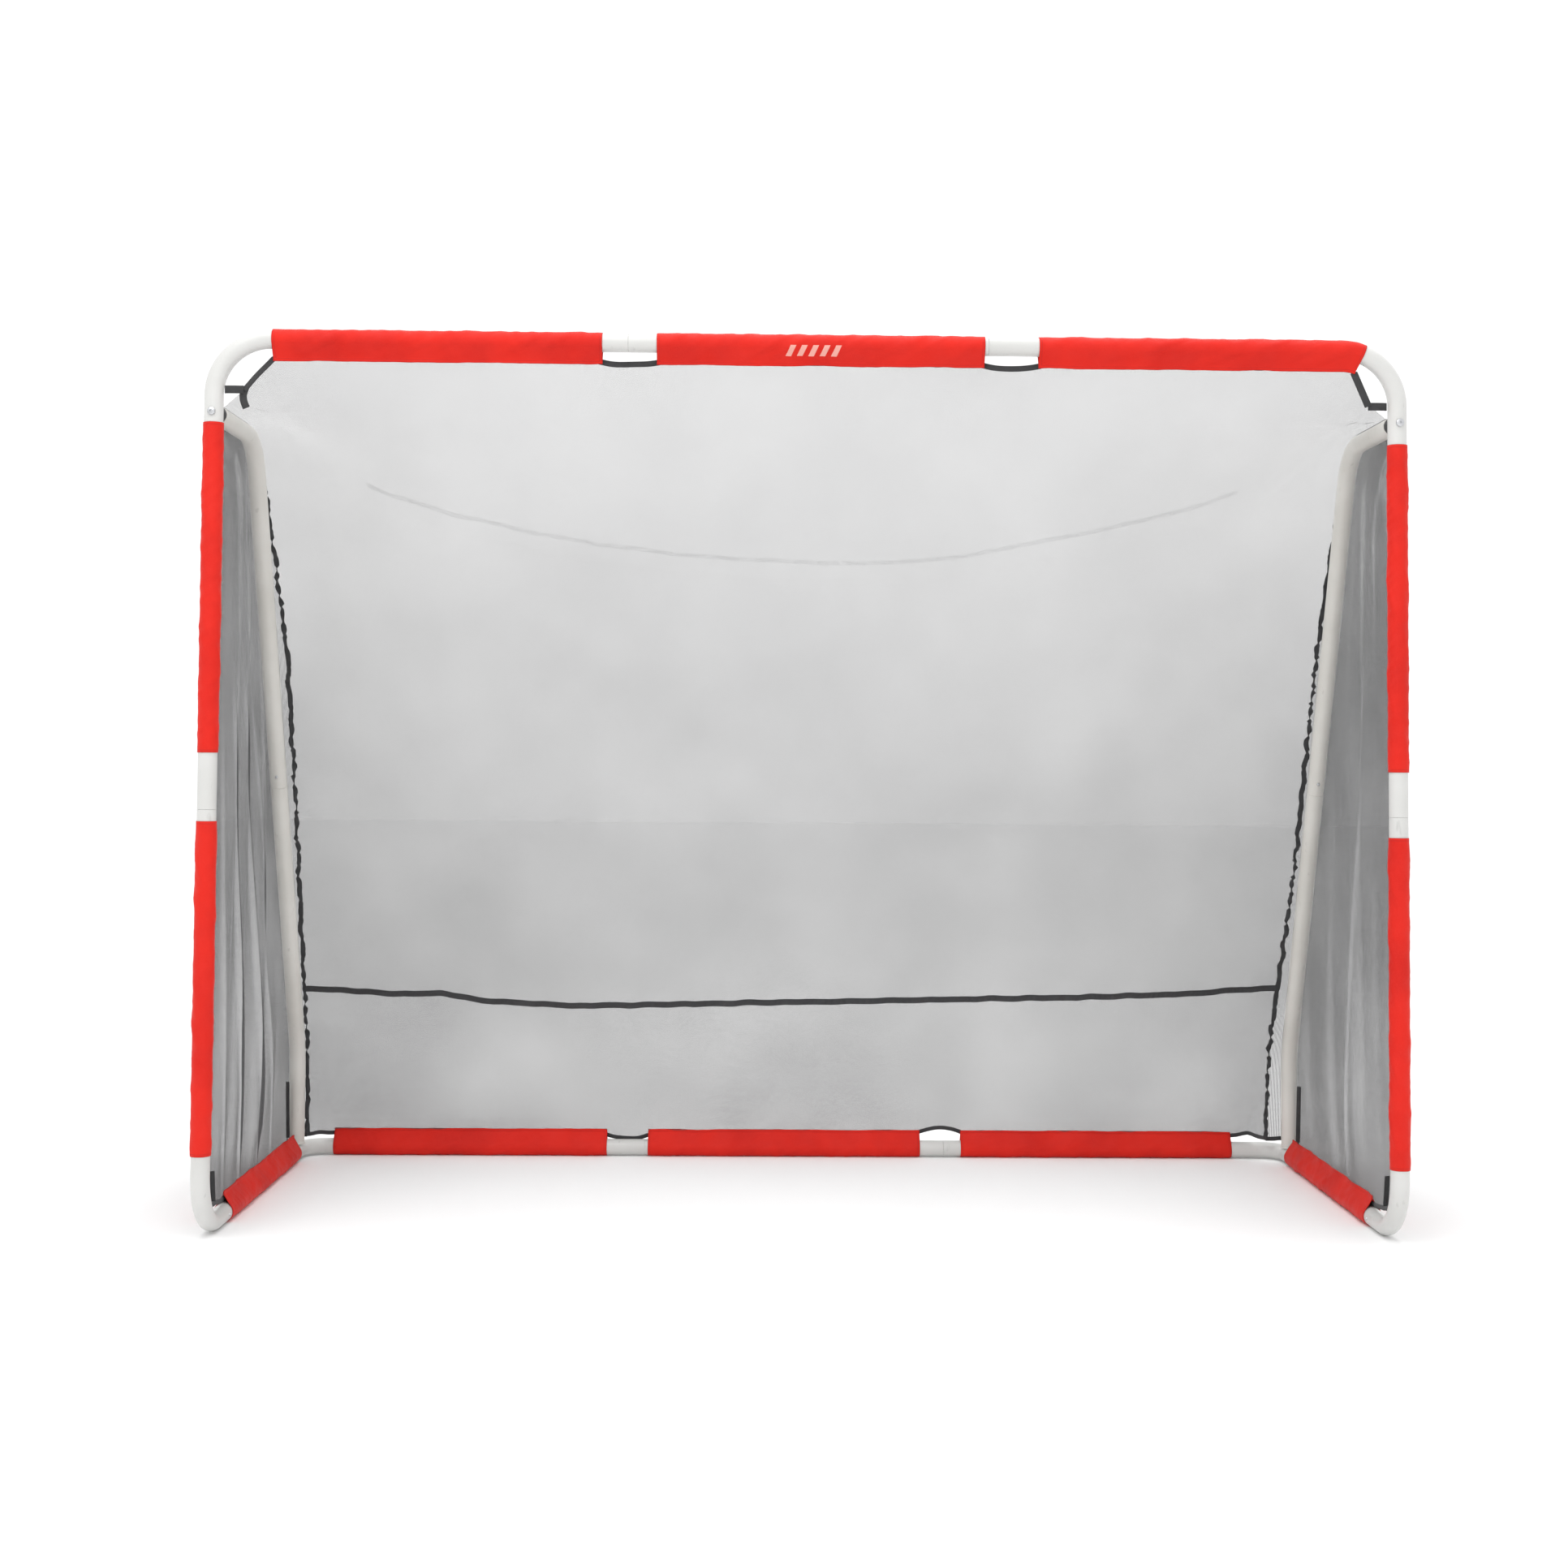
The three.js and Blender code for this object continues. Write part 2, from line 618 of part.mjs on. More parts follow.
// The seam on one stay station, `shift` further outboard.
function seamPoint(station, shift) {
  const p = station.point.clone().addScaledVector(station.normal, NET_STANDOFF);
  return p.setX(POST_X - seamInset(station.share) + shift);
}

// The roof and the back, from the crossbar to the rear bar, hanging in a sag between the seams.
// They are one cloth, parted along the crease between them.
function addMainNet() {
  const corner = at(POST_X - NET_CORNER_INSET, 0, NET_CORNER_Z);
  const edge = [corner, ...stayLine.map((s) => seamPoint(s, -NET_SEAM_GAP / 2))];
  const crease = creaseIndex + 1;
  const last = edge.length - 1;
  const creaseMiddle = at(0, NET_CREASE_BACK, NET_TOP - (NET_CREASE_DROP - FLAP_REACH));
  const middle = edge.map((p, i) => {
    if (i <= crease) {
      return at(0, 0, NET_TOP).lerp(creaseMiddle, i / crease);
    }
    const share = (edge[crease].z - p.z) / (edge[crease].z - edge[last].z);
    return creaseMiddle.clone().lerp(at(0, REAR_Y, NET_BOTTOM), share);
  });
  // How far out the straight part of the top and bottom edges reaches
  const hemEnd = (TOP_BEND_X - NET_HEM_BEFORE_BEND) / corner.x;
  const across = Array.from({ length: NET_COLUMNS + 1 }, (_, k) => {
    if (k === 0) return -1;
    if (k === NET_COLUMNS) return 1;
    return hemEnd * (2 * (k - 1) / (NET_COLUMNS - 2) - 1);
  });
  const hemPull = (s) => Math.max(0, (Math.abs(s) - hemEnd) / (1 - hemEnd));
  const grid = edge.map((edgePoint, row) => {
    const fromHem = Math.min(row / crease, (last - row) / 2, 1);
    return across.map((s) => {
      const pull = THREE.MathUtils.lerp(hemPull(s), s * s, fromHem);
      const p = middle[row].clone().lerp(edgePoint, pull);
      return p.setX(s * edgePoint.x);
    });
  });
  const drawnIn = (row, towards) => row.map((p, k) => {
    const inwards = towards[k].clone().sub(p).setLength(NET_SEAM_GAP / 2);
    return p.clone().add(inwards);
  });
  const roof = [...grid.slice(0, crease), drawnIn(grid[crease], grid[crease - 1])];
  const back = [drawnIn(grid[crease], grid[crease + 1]), ...grid.slice(crease + 1)];
  const normals = sheetNormals(grid);
  addPiece("net_roof", sheetGeometry(roof, normals.slice(0, crease + 1)), netFabric);
  addPiece("net_back", sheetGeometry(back, normals.slice(crease)), netFabric);
}

const frontBendCentre = (sign) => at(sign * POST_X, FRONT_BEND, FRONT_BEND_Z);

// Where the side panel's front-bottom corner hangs, inside the front bend.
function netFrontCorner(sign) {
  const reach = FRONT_BEND - TUBE_RADIUS - NET_CORNER_OFF_BEND;
  const towards = at(0, -Math.cos(NET_CORNER_ANGLE), -Math.sin(NET_CORNER_ANGLE));
  return frontBendCentre(sign).addScaledVector(towards, reach);
}

// A side panel, from the upright to the seam, passing outside and behind the stay.
function addSideNet(side, sign) {
  const { y: cornerY, z: cornerZ } = netFrontCorner(sign);
  const cutZ = FRONT_BEND_Z - NET_CUT_BELOW_BEND;
  const frontY = FLAP_REACH + GAP + NET_THICKNESS / 2;
  const grid = stayLine.map((station) => {
    const frontZ = THREE.MathUtils.lerp(STAY_HEIGHT - NET_FRONT_BELOW_STAY, cornerZ, station.share);
    const cut = Math.max(0, (cutZ - frontZ) / (cutZ - cornerZ));
    const row = [at(POST_X, THREE.MathUtils.lerp(frontY, cornerY, cut), frontZ)];
    for (let k = 0; k <= NET_WRAP_STEPS; k++) {
      const angle = (Math.PI / 2) * (k / NET_WRAP_STEPS);
      const p = station.point.clone().addScaledVector(station.normal, NET_STANDOFF * Math.sin(angle));
      row.push(p.setX(POST_X + NET_STANDOFF * Math.cos(angle)));
    }
    row.push(seamPoint(station, NET_SEAM_GAP / 2));
    return sign > 0 ? row : row.reverse().map((p) => p.setX(-p.x));
  });
  addPiece(`net_side_${side}`, sheetGeometry(grid, sheetNormals(grid)), netFabric);
}

addMainNet();
SIDE_NAMES.forEach(([side, sign]) => addSideNet(side, sign));

// ---- Net straps ---------------------------------------------------------------------------

// A flat strap from one point to another, its width along `across`.
function addStrap(name, from, to, across) {
  const along = to.clone().sub(from);
  const box = new THREE.BoxGeometry(along.length(), STRAP_WIDTH, STRAP_THICKNESS);
  const direction = along.clone().normalize();
  const place = new THREE.Matrix4().makeBasis(direction, across, direction.clone().cross(across));
  place.setPosition(from.clone().lerp(to, 0.5));
  addPiece(name, box.applyMatrix4(place), webbing);
}

SIDE_NAMES.forEach(([side, sign]) => {
  const netEnd = POST_X - NET_CORNER_INSET + NET_THICKNESS;
  const rise = NET_CORNER_ABOVE_BEND + STRAP_WIDTH / 2;
  const innerTop = Math.sqrt((TOP_BEND - TUBE_RADIUS) ** 2 - rise ** 2);
  const postEnd = TOP_BEND_X + innerTop - 3 * GAP;
  const [outer, inner] = [postEnd, netEnd].map((x) => at(sign * x, 0, NET_CORNER_Z));
  addStrap(`strap_top_${side}`, outer, inner, Z_AXIS);

  const bendCentre = frontBendCentre(sign);
  const netCorner = netFrontCorner(sign);
  const outward = netCorner.clone().sub(bendCentre).normalize();
  const strapStart = netCorner.clone().addScaledVector(outward, NET_THICKNESS);
  const innerFace = FRONT_BEND - TUBE_RADIUS - 3 * GAP;
  const strapEnd = bendCentre.clone().addScaledVector(outward, innerFace);
  addStrap(`strap_front_${side}`, strapStart, strapEnd, outward.clone().cross(X_AXIS));
});

// ---- Origin on the ground under the middle of the box ---------------------------------------

const box = new THREE.Box3().setFromObject(goal);
goal.position.set(-(box.min.x + box.max.x) / 2, -(box.min.y + box.max.y) / 2, -box.min.z);

export default goal;
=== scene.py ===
import math

import bpy
import numpy as np
from mathutils import Matrix, Vector


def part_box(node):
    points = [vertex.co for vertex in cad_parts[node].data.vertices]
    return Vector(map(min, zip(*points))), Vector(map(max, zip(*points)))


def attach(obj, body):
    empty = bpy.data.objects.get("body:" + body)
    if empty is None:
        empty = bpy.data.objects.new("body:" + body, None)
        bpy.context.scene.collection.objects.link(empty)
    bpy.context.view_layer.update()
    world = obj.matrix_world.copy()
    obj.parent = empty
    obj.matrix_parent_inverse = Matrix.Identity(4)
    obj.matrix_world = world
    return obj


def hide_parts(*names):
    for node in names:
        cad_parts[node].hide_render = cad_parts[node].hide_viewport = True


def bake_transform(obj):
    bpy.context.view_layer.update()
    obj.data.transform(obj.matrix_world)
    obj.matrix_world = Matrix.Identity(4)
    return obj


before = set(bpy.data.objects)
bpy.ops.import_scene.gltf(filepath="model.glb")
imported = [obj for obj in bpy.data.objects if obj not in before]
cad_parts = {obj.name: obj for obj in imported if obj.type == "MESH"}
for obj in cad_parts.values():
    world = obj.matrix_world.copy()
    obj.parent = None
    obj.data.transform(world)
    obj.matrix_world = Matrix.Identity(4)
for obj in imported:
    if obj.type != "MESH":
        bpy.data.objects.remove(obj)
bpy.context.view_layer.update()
SIDES = (("left", -1), ("right", 1))

# ---- Sizes that follow the CAD model --------------------------------------------------------

_lo, _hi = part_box("crossbar_center_tube")
BAR_Y = (_lo.y + _hi.y) / 2          # the front tubes' axis
TOP_Z = (_lo.z + _hi.z) / 2
_lo, _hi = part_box("rear_bar_center_tube")
REAR_Y = (_lo.y + _hi.y) / 2
BAR_Z = (_lo.z + _hi.z) / 2
_lo, _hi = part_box("sleeve_upright_right_lower")
POST_X = (_lo.x + _hi.x) / 2

TUBE, WALL = 0.019, 0.0012
TOP_BEND, FRONT_BEND, REAR_BEND, STAY_FOOT_BEND = 0.114, 0.114, 0.060, 0.250
SEAM_X, SIDE_SEAM, STAY_SEAM = 0.365, 0.140, 0.900
SPIGOT_LENGTH, GAP = 0.060, 0.0003
UPRIGHT_SEAM = (TOP_Z + BAR_Z) / 2 - 0.055
STAY_Z = TOP_Z - TOP_BEND - 0.0357
KNEE_Y = BAR_Y + 0.345
FOOT_Y = REAR_Y - REAR_BEND - 0.0134
ANKLE_Z = 0.260
STAY_START_Y = BAR_Y + 0.031
SLEEVE_R, FLAP = 0.0203, 0.024
FLAP_REACH = SLEEVE_R + FLAP
STANDOFF = TUBE + 0.0032             # the net's distance from a stay's axis
NET_CLEAR = 0.00105                   # between a flap's tip and the net's hem
NET_TOP = TOP_Z - FLAP_REACH - NET_CLEAR
NET_BOTTOM = BAR_Z + FLAP_REACH + NET_CLEAR
NET_CORNER = Vector((POST_X - 0.0607, BAR_Y, TOP_Z - TOP_BEND + 0.0113))
HEM_END = POST_X - TOP_BEND - 0.0043
CREASE_MIDDLE = Vector((0, BAR_Y + 0.235, NET_TOP - 0.4057))
SLOPE = Vector((0, FOOT_Y - KNEE_Y, ANKLE_Z - STAY_Z)).normalized()

# Snap buttons and leaf springs: heights are measured from the tube's axis, towards the button
BUTTON_R, BUTTON_EDGE, BUTTON_TOP, HOLE_R = 0.0035, 0.0012, TUBE + 0.003, 0.00385
FLANGE_R, FLANGE_BOTTOM, FLANGE_TOP = 0.0050, 0.0135, 0.0149
SPRING_NEAR, SPRING_FAR, SPRING_NOSE = 0.0127, -0.0156, 0.0016
SPRING_PAD, SPRING_REACH = 0.008, 0.033
SPRING_WIDTH, SPRING_THICKNESS = 0.008, 0.0008

# The bolts that hold the stays' top ends
BOLT_R, BOLT_END, BOLT_HEAD_R, SOCKET_R = 0.0040, -0.056, 0.0080, 0.0027


def at(x, y, z):
    return Vector((x, y, z))


# ---- Material nodes -------------------------------------------------------------------------

def new_material(name, colour, roughness, **inputs):
    m = bpy.data.materials.new(name)
    m.use_nodes = True
    nt = m.node_tree
    shader = nt.nodes["Principled BSDF"]
    shader.inputs["Base Color"].default_value = (*colour, 1)
    shader.inputs["Roughness"].default_value = roughness
    for key, value in inputs.items():
        shader.inputs[key.replace("_", " ")].default_value = value
    return m, nt, shader


def node(nt, kind, **values):
    n = nt.nodes.new(kind)
    for key, value in values.items():
        setattr(n, key, value)
    return n


def plug(nt, value, socket):
    """Links a socket, or sets a number."""
    if isinstance(value, bpy.types.NodeSocket):
        nt.links.new(value, socket)
    else:
        socket.default_value = value


def maths(nt, operation, a, b=0.0, c=0.0):
    n = node(nt, "ShaderNodeMath", operation=operation)
    for value, socket in zip((a, b, c), n.inputs):
        plug(nt, value, socket)
    return n.outputs[0]


def noise(nt, where, scale, detail=3.0, stretch=None):
    if stretch:
        n = node(nt, "ShaderNodeMapping")
        nt.links.new(where, n.inputs["Vector"])
        n.inputs["Scale"].default_value = stretch
        where = n.outputs[0]
    n = node(nt, "ShaderNodeTexNoise")
    nt.links.new(where, n.inputs["Vector"])
    n.inputs["Scale"].default_value = scale
    n.inputs["Detail"].default_value = detail
    return n.outputs["Fac"]


def ramp(nt, fac, low, high, at_low=0.3, at_high=0.7):
    n = node(nt, "ShaderNodeValToRGB")
    plug(nt, fac, n.inputs[0])
    n.color_ramp.elements[0].position, n.color_ramp.elements[1].position = at_low, at_high
    n.color_ramp.elements[0].color, n.color_ramp.elements[1].color = (*low, 1), (*high, 1)
    return n.outputs["Color"]


def mix(nt, fac, a, b):
    n = node(nt, "ShaderNodeMix", data_type="RGBA")
    plug(nt, fac, n.inputs[0])
    plug(nt, a if isinstance(a, bpy.types.NodeSocket) else (*a, 1), n.inputs[6])
    plug(nt, b if isinstance(b, bpy.types.NodeSocket) else (*b, 1), n.inputs[7])
    return n.outputs[2]


def map_range(nt, value, a, b, c, d):
    n = node(nt, "ShaderNodeMapRange")
    plug(nt, value, n.inputs[0])
    for socket, number in zip(n.inputs[1:5], (a, b, c, d)):
        socket.default_value = number
    return n.outputs[0]


def bump(nt, shader, height, strength, distance):
    n = node(nt, "ShaderNodeBump")
    n.inputs["Strength"].default_value = strength
    n.inputs["Distance"].default_value = distance
    plug(nt, height, n.inputs["Height"])
    nt.links.new(n.outputs[0], shader.inputs["Normal"])


def place(nt, kind="Object"):
    return node(nt, "ShaderNodeTexCoord").outputs[kind]


def uv_parts(nt):
    split = node(nt, "ShaderNodeSeparateXYZ")
    nt.links.new(place(nt, "UV"), split.inputs[0])
    return split.outputs[0], split.outputs[1]


def painted_steel(name, clean, worn):
    """Satin powder coat: a fine orange peel, a little uneven gloss, and faint scuffs."""
    m, nt, shader = new_material(name, clean, 0.36, Coat_Weight=0.15, Coat_Roughness=0.3)
    where = place(nt)
    broad = ramp(nt, noise(nt, where, 5, 4), worn, clean, 0.3, 0.62)
    scuff = map_range(nt, noise(nt, where, 60, 6, (1, 1, 0.25)), 0.66, 0.72, 0.0, 0.35)
    nt.links.new(mix(nt, scuff, broad, tuple(0.72 * c for c in worn)), shader.inputs["Base Color"])
    nt.links.new(map_range(nt, noise(nt, where, 35), 0.3, 0.7, 0.3, 0.46), shader.inputs["Roughness"])
    bump(nt, shader, noise(nt, where, 900, 2), 0.12, 0.0004)
    return m


def weave(nt, u, v, pitch):
    """A plain weave's height: two sets of threads, over and under."""
    turn = 2 * math.pi / pitch
    across = maths(nt, "SINE", maths(nt, "MULTIPLY", u, turn))
    along = maths(nt, "SINE", maths(nt, "MULTIPLY", v, turn))
    return maths(nt, "MULTIPLY", across, along)


def red_nylon(name, marked=False):
    """Coated red cloth with an over-and-under weave, a stitched border and soft creasing."""
    m, nt, shader = new_material(name, RED, 0.68, Sheen_Weight=0.03, Sheen_Roughness=0.4,
                             Specular_IOR_Level=0.22)
    where = place(nt)
    u, v = uv_parts(nt)
    edge = node(nt, "ShaderNodeAttribute", attribute_name="edge").outputs["Fac"]
    threads = weave(nt, u, v, NYLON_PITCH)
    tone = ramp(nt, noise(nt, where, 9, 5), RED_DEEP, RED, 0.28, 0.6)
    fleck = map_range(nt, noise(nt, where, 420, 2), 0.35, 0.75, 0.0, 0.22)
    tone = mix(nt, fleck, tone, RED_LIGHT)
    line = maths(nt, "COMPARE", edge, STITCH_INSET, STITCH_HALF_WIDTH)
    run = maths(nt, "DIVIDE", maths(nt, "ADD", u, v), STITCH_PITCH)
    dash = maths(nt, "GREATER_THAN", maths(nt, "FRACT", run), 0.3)
    stitch = maths(nt, "MULTIPLY", line, dash)
    tone = mix(nt, maths(nt, "MULTIPLY", stitch, 0.7), tone, RED_STITCH)
    hem = map_range(nt, edge, 0.0, 0.0016, 0.35, 0.0)
    tone = mix(nt, hem, tone, RED_STITCH)
    if marked:
        tone = mix(nt, mark_mask(nt, u, v), tone, MARK_COLOUR)
    nt.links.new(tone, shader.inputs["Base Color"])
    nt.links.new(map_range(nt, noise(nt, where, 24), 0.3, 0.7, 0.54, 0.7), shader.inputs["Roughness"])
    crease = noise(nt, where, 55, 4, (0.5, 0.5, 1.0))
    height = maths(nt, "ADD", maths(nt, "MULTIPLY", threads, 0.12), maths(nt, "MULTIPLY", crease, 1.4))
    height = maths(nt, "SUBTRACT", height, maths(nt, "MULTIPLY", stitch, 0.5))
    bump(nt, shader, height, 0.5, 0.0012)
    return m


def mark_mask(nt, u, v):
    """A plain printed badge of slanted bars, about halfway along, on the front of the sleeve."""
    slanted = maths(nt, "ADD", u, maths(nt, "MULTIPLY", v, MARK_SLANT))
    half = MARK_BARS * MARK_PITCH / 2
    from_start = maths(nt, "SUBTRACT", slanted, MARK_U + MARK_SLANT * MARK_V - half)
    bars = maths(nt, "LESS_THAN", maths(nt, "FRACT", maths(nt, "DIVIDE", from_start, MARK_PITCH)), 0.5)
    inside = maths(nt, "COMPARE", from_start, half, half)
    level = maths(nt, "COMPARE", v, MARK_V, MARK_HEIGHT / 2)
    return maths(nt, "MULTIPLY", maths(nt, "MULTIPLY", bars, inside), maths(nt, "MULTIPLY", level, 0.85))


def net_cloth(name, pitch, thread, low_share, high_share):
    """Fine knotless mesh. Threads follow the cloth's own lengths, and are a bit closer low down."""
    m, nt, shader = new_material(name, NET_THREAD, 0.85, Sheen_Weight=0.1)
    where = place(nt)
    u, v = uv_parts(nt)
    sway = maths(nt, "MULTIPLY", maths(nt, "SUBTRACT", noise(nt, where, 3, 1), 0.5), 0.004)
    split = node(nt, "ShaderNodeSeparateXYZ")
    nt.links.new(where, split.inputs[0])
    closeness = map_range(nt, split.outputs[2], 0.1, 1.7, low_share, high_share)
    outward = map_range(nt, maths(nt, "ABSOLUTE", split.outputs[0]), 0.55, 1.2, 1.0, 1.2)
    closeness = maths(nt, "MULTIPLY", closeness, outward)
    uneven = map_range(nt, noise(nt, where, 3, 4), 0.3, 0.7, 0.9, 1.1)
    width = maths(nt, "MULTIPLY", maths(nt, "MULTIPLY", closeness, uneven), thread)

    def threads(along):
        step = maths(nt, "FRACT", maths(nt, "DIVIDE", maths(nt, "ADD", along, sway), pitch))
        return maths(nt, "LESS_THAN", step, width)

    mesh = maths(nt, "MAXIMUM", threads(u), threads(v))
    nt.links.new(mesh, shader.inputs["Alpha"])
    nt.links.new(mix(nt, noise(nt, where, 300, 2), NET_THREAD, NET_THREAD_LIGHT), shader.inputs["Base Color"])
    bump(nt, shader, weave(nt, u, v, pitch / 3), 0.2, 0.0003)
    return m


def black_tape(name, rib):
    """Woven tape: ribs across it, fine threads along it, faded a little in random patches."""
    m, nt, shader = new_material(name, TAPE, 0.8, Sheen_Weight=0.15)
    where = place(nt)
    u, v = uv_parts(nt)
    ribs = maths(nt, "SINE", maths(nt, "MULTIPLY", u, 2 * math.pi / rib))
    height = maths(nt, "ADD", ribs, maths(nt, "MULTIPLY", weave(nt, u, v, rib / 2), 0.5))
    nt.links.new(mix(nt, noise(nt, where, 45, 4), TAPE, TAPE_FADED), shader.inputs["Base Color"])
    bump(nt, shader, height, 0.5, 0.0004)
    return m


def bright_metal(name, colour, roughness):
    m, nt, shader = new_material(name, colour, roughness, Metallic=1.0)
    where = place(nt)
    dull = tuple(0.75 * c for c in colour)
    nt.links.new(ramp(nt, noise(nt, where, 120, 5), dull, colour, 0.3, 0.7), shader.inputs["Base Color"])
    rough = map_range(nt, noise(nt, where, 260), 0.3, 0.7, roughness - 0.08, roughness + 0.12)
    nt.links.new(rough, shader.inputs["Roughness"])
    bump(nt, shader, noise(nt, where, 1500, 2), 0.1, 0.0002)
    return m


def grained_plastic(name, colour):
    m, nt, shader = new_material(name, colour, 0.5)
    where = place(nt)
    light = tuple(1.6 * c for c in colour)
    nt.links.new(mix(nt, noise(nt, where, 90, 4), colour, light), shader.inputs["Base Color"])
    nt.links.new(map_range(nt, noise(nt, where, 200), 0.3, 0.7, 0.42, 0.6), shader.inputs["Roughness"])
    bump(nt, shader, noise(nt, where, 1100, 3), 0.3, 0.0003)
    return m


RED, RED_DEEP, RED_LIGHT = (0.66, 0.015, 0.007), (0.55, 0.010, 0.005), (0.68, 0.028, 0.014)
RED_STITCH = (0.36, 0.012, 0.010)
NET_THREAD, NET_THREAD_LIGHT = (0.035, 0.036, 0.038), (0.07, 0.071, 0.075)
TAPE, TAPE_FADED = (0.014, 0.014, 0.015), (0.045, 0.045, 0.047)
MARK_BARS, MARK_PITCH, MARK_HEIGHT, MARK_SLANT = 5, 0.023, 0.023, 0.45
MARK_U, MARK_V = 0.323, 0.1265        # its middle, along the sleeve and round it
MARK_COLOUR = (0.78, 0.42, 0.36)
NYLON_PITCH, STITCH_PITCH, STITCH_INSET, STITCH_HALF_WIDTH = 0.0011, 0.0036, 0.0052, 0.0006
NET_PITCH = 0.0013

PAINT = painted_steel("paint_frame", (0.60, 0.60, 0.585), (0.53, 0.53, 0.512))
PAINT_STAY = painted_steel("paint_stay", (0.655, 0.647, 0.61), (0.57, 0.56, 0.52))
NYLON = red_nylon("red_nylon")
NYLON_MARKED = red_nylon("red_nylon_marked", marked=True)
NET_BACK = net_cloth("net_back_mesh", NET_PITCH, 0.25, 1.60, 0.75)
NET_SIDE = net_cloth("net_side_mesh", NET_PITCH, 0.275, 1.09, 1.0)
NET_TUCK = net_cloth("net_tuck_mesh", NET_PITCH, 0.028, 1.0, 1.0)
HEM_TAPE = black_tape("hem_tape", 0.0014)
WEBBING = black_tape("webbing", 0.0020)
ZINC = bright_metal("zinc", (0.66, 0.67, 0.69), 0.34)
SPRING = bright_metal("spring_steel", (0.50, 0.52, 0.55), 0.3)
PLASTIC = grained_plastic("black_plastic", (0.013, 0.013, 0.014))

# ---- Mesh helpers ---------------------------------------------------------------------------

def finish_piece(obj, material, body, replaced=(), sharp=40):
    obj.data.materials.clear()
    obj.data.materials.append(material)
    obj.data.polygons.foreach_set("use_smooth", [True] * len(obj.data.polygons))
    obj.data.set_sharp_from_angle(angle=math.radians(sharp))
    if body:
        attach(obj, body)
    if replaced:
        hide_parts(*replaced)
    return obj


def add_mesh(name, verts, faces):
    mesh = bpy.data.meshes.new(name)
    mesh.from_pydata([tuple(v) for v in verts], [], faces)
    mesh.validate()
    obj = bpy.data.objects.new(name, mesh)
    bpy.context.scene.collection.objects.link(obj)
    return obj


def grid_faces(rows, columns, wrap=False):
    """Quads of a grid whose points run row by row."""
    faces = []
    for j in range(rows - 1):
        for i in range(columns if wrap else columns - 1):
            k = (i + 1) % columns
            faces.append((j * columns + i, j * columns + k, (j + 1) * columns + k, (j + 1) * columns + i))
    return faces


def add_grid(name, points, uv=None, wrap=False):
    """A surface through a rows x columns x 3 array, with the cloth's own lengths as its UVs."""
    rows, columns = points.shape[:2]
    obj = add_mesh(name, points.reshape(-1, 3), grid_faces(rows, columns, wrap))
    if uv is not None:
        layer = obj.data.uv_layers.new(name="cloth")
        loops = np.zeros(len(obj.data.loops), int)
        obj.data.loops.foreach_get("vertex_index", loops)
        layer.data.foreach_set("uv", uv.reshape(-1, 2)[loops].ravel())
    return obj


def route(corners, radii, step=4.0):
    """Straight runs and round bends in one plane: a list of (point, tangent)."""
    stations = [(corners[0], (corners[1] - corners[0]).normalized())]
    for i, radius in enumerate(radii):
        into = (corners[i + 1] - corners[i]).normalized()
        out = (corners[i + 2] - corners[i + 1]).normalized()
        turn = into.angle(out)
        axis = into.cross(out).normalized()
        entry = corners[i + 1] - into * radius * math.tan(turn / 2)
        centre = entry + axis.cross(into) * radius
        count = max(2, round(math.degrees(turn) / step))
        for k in range(count + 1):
            spin = Matrix.Rotation(turn * k / count, 3, axis)
            stations.append((centre + spin @ (entry - centre), spin @ into))
    stations.append((corners[-1], (corners[-1] - corners[-2]).normalized()))
    return stations


def split_long(stations, longest):
    """The same route with extra stations in its straight runs."""
    out = [stations[0]]
    for (p, t), (q, u) in zip(stations, stations[1:]):
        count = max(1, math.ceil((q - p).length / longest))
        out += [(p.lerp(q, k / count), t.lerp(u, k / count).normalized()) for k in range(1, count + 1)]
    return out


def lengths(stations):
    gaps = [(q - p).length for (p, _), (q, _) in zip(stations, stations[1:])]
    return np.concatenate([[0.0], np.cumsum(gaps)])


def tube_mesh(name, stations, side_axis, sides=40):
    """A round tube with its bore open and its ends lightly chamfered."""
    chamfer = 0.0004
    inner = TUBE - WALL
    (p0, t0), (p1, t1) = stations[0], stations[-1]
    ends = [(p0 + t0 * chamfer, t0)] + stations[1:-1] + [(p1 - t1 * chamfer, t1)]
    profile = [(s, TUBE) for s in ends]
    loop = [((p0, t0), inner), ((p0, t0), TUBE - chamfer)] + profile
    loop += [((p1, t1), TUBE - chamfer), ((p1, t1), inner)]
    loop += [(s, inner) for s in reversed(stations[1:-1])]
    rings = []
    for (point, tangent), radius in loop:
        up = Vector(side_axis)
        out = up.cross(tangent).normalized()
        rings.append([
            point + (up * math.sin(a) + out * math.cos(a)) * radius
            for a in (2 * math.pi * k / sides for k in range(sides))
        ])
    count = len(rings)
    verts = [v for ring in rings for v in ring]
    faces = []
    for j in range(count):
        for i in range(sides):
            a, b, k = j * sides, ((j + 1) % count) * sides, (i + 1) % sides
            faces.append((a + i, b + i, b + k, a + k))
    return add_mesh(name, verts, faces)


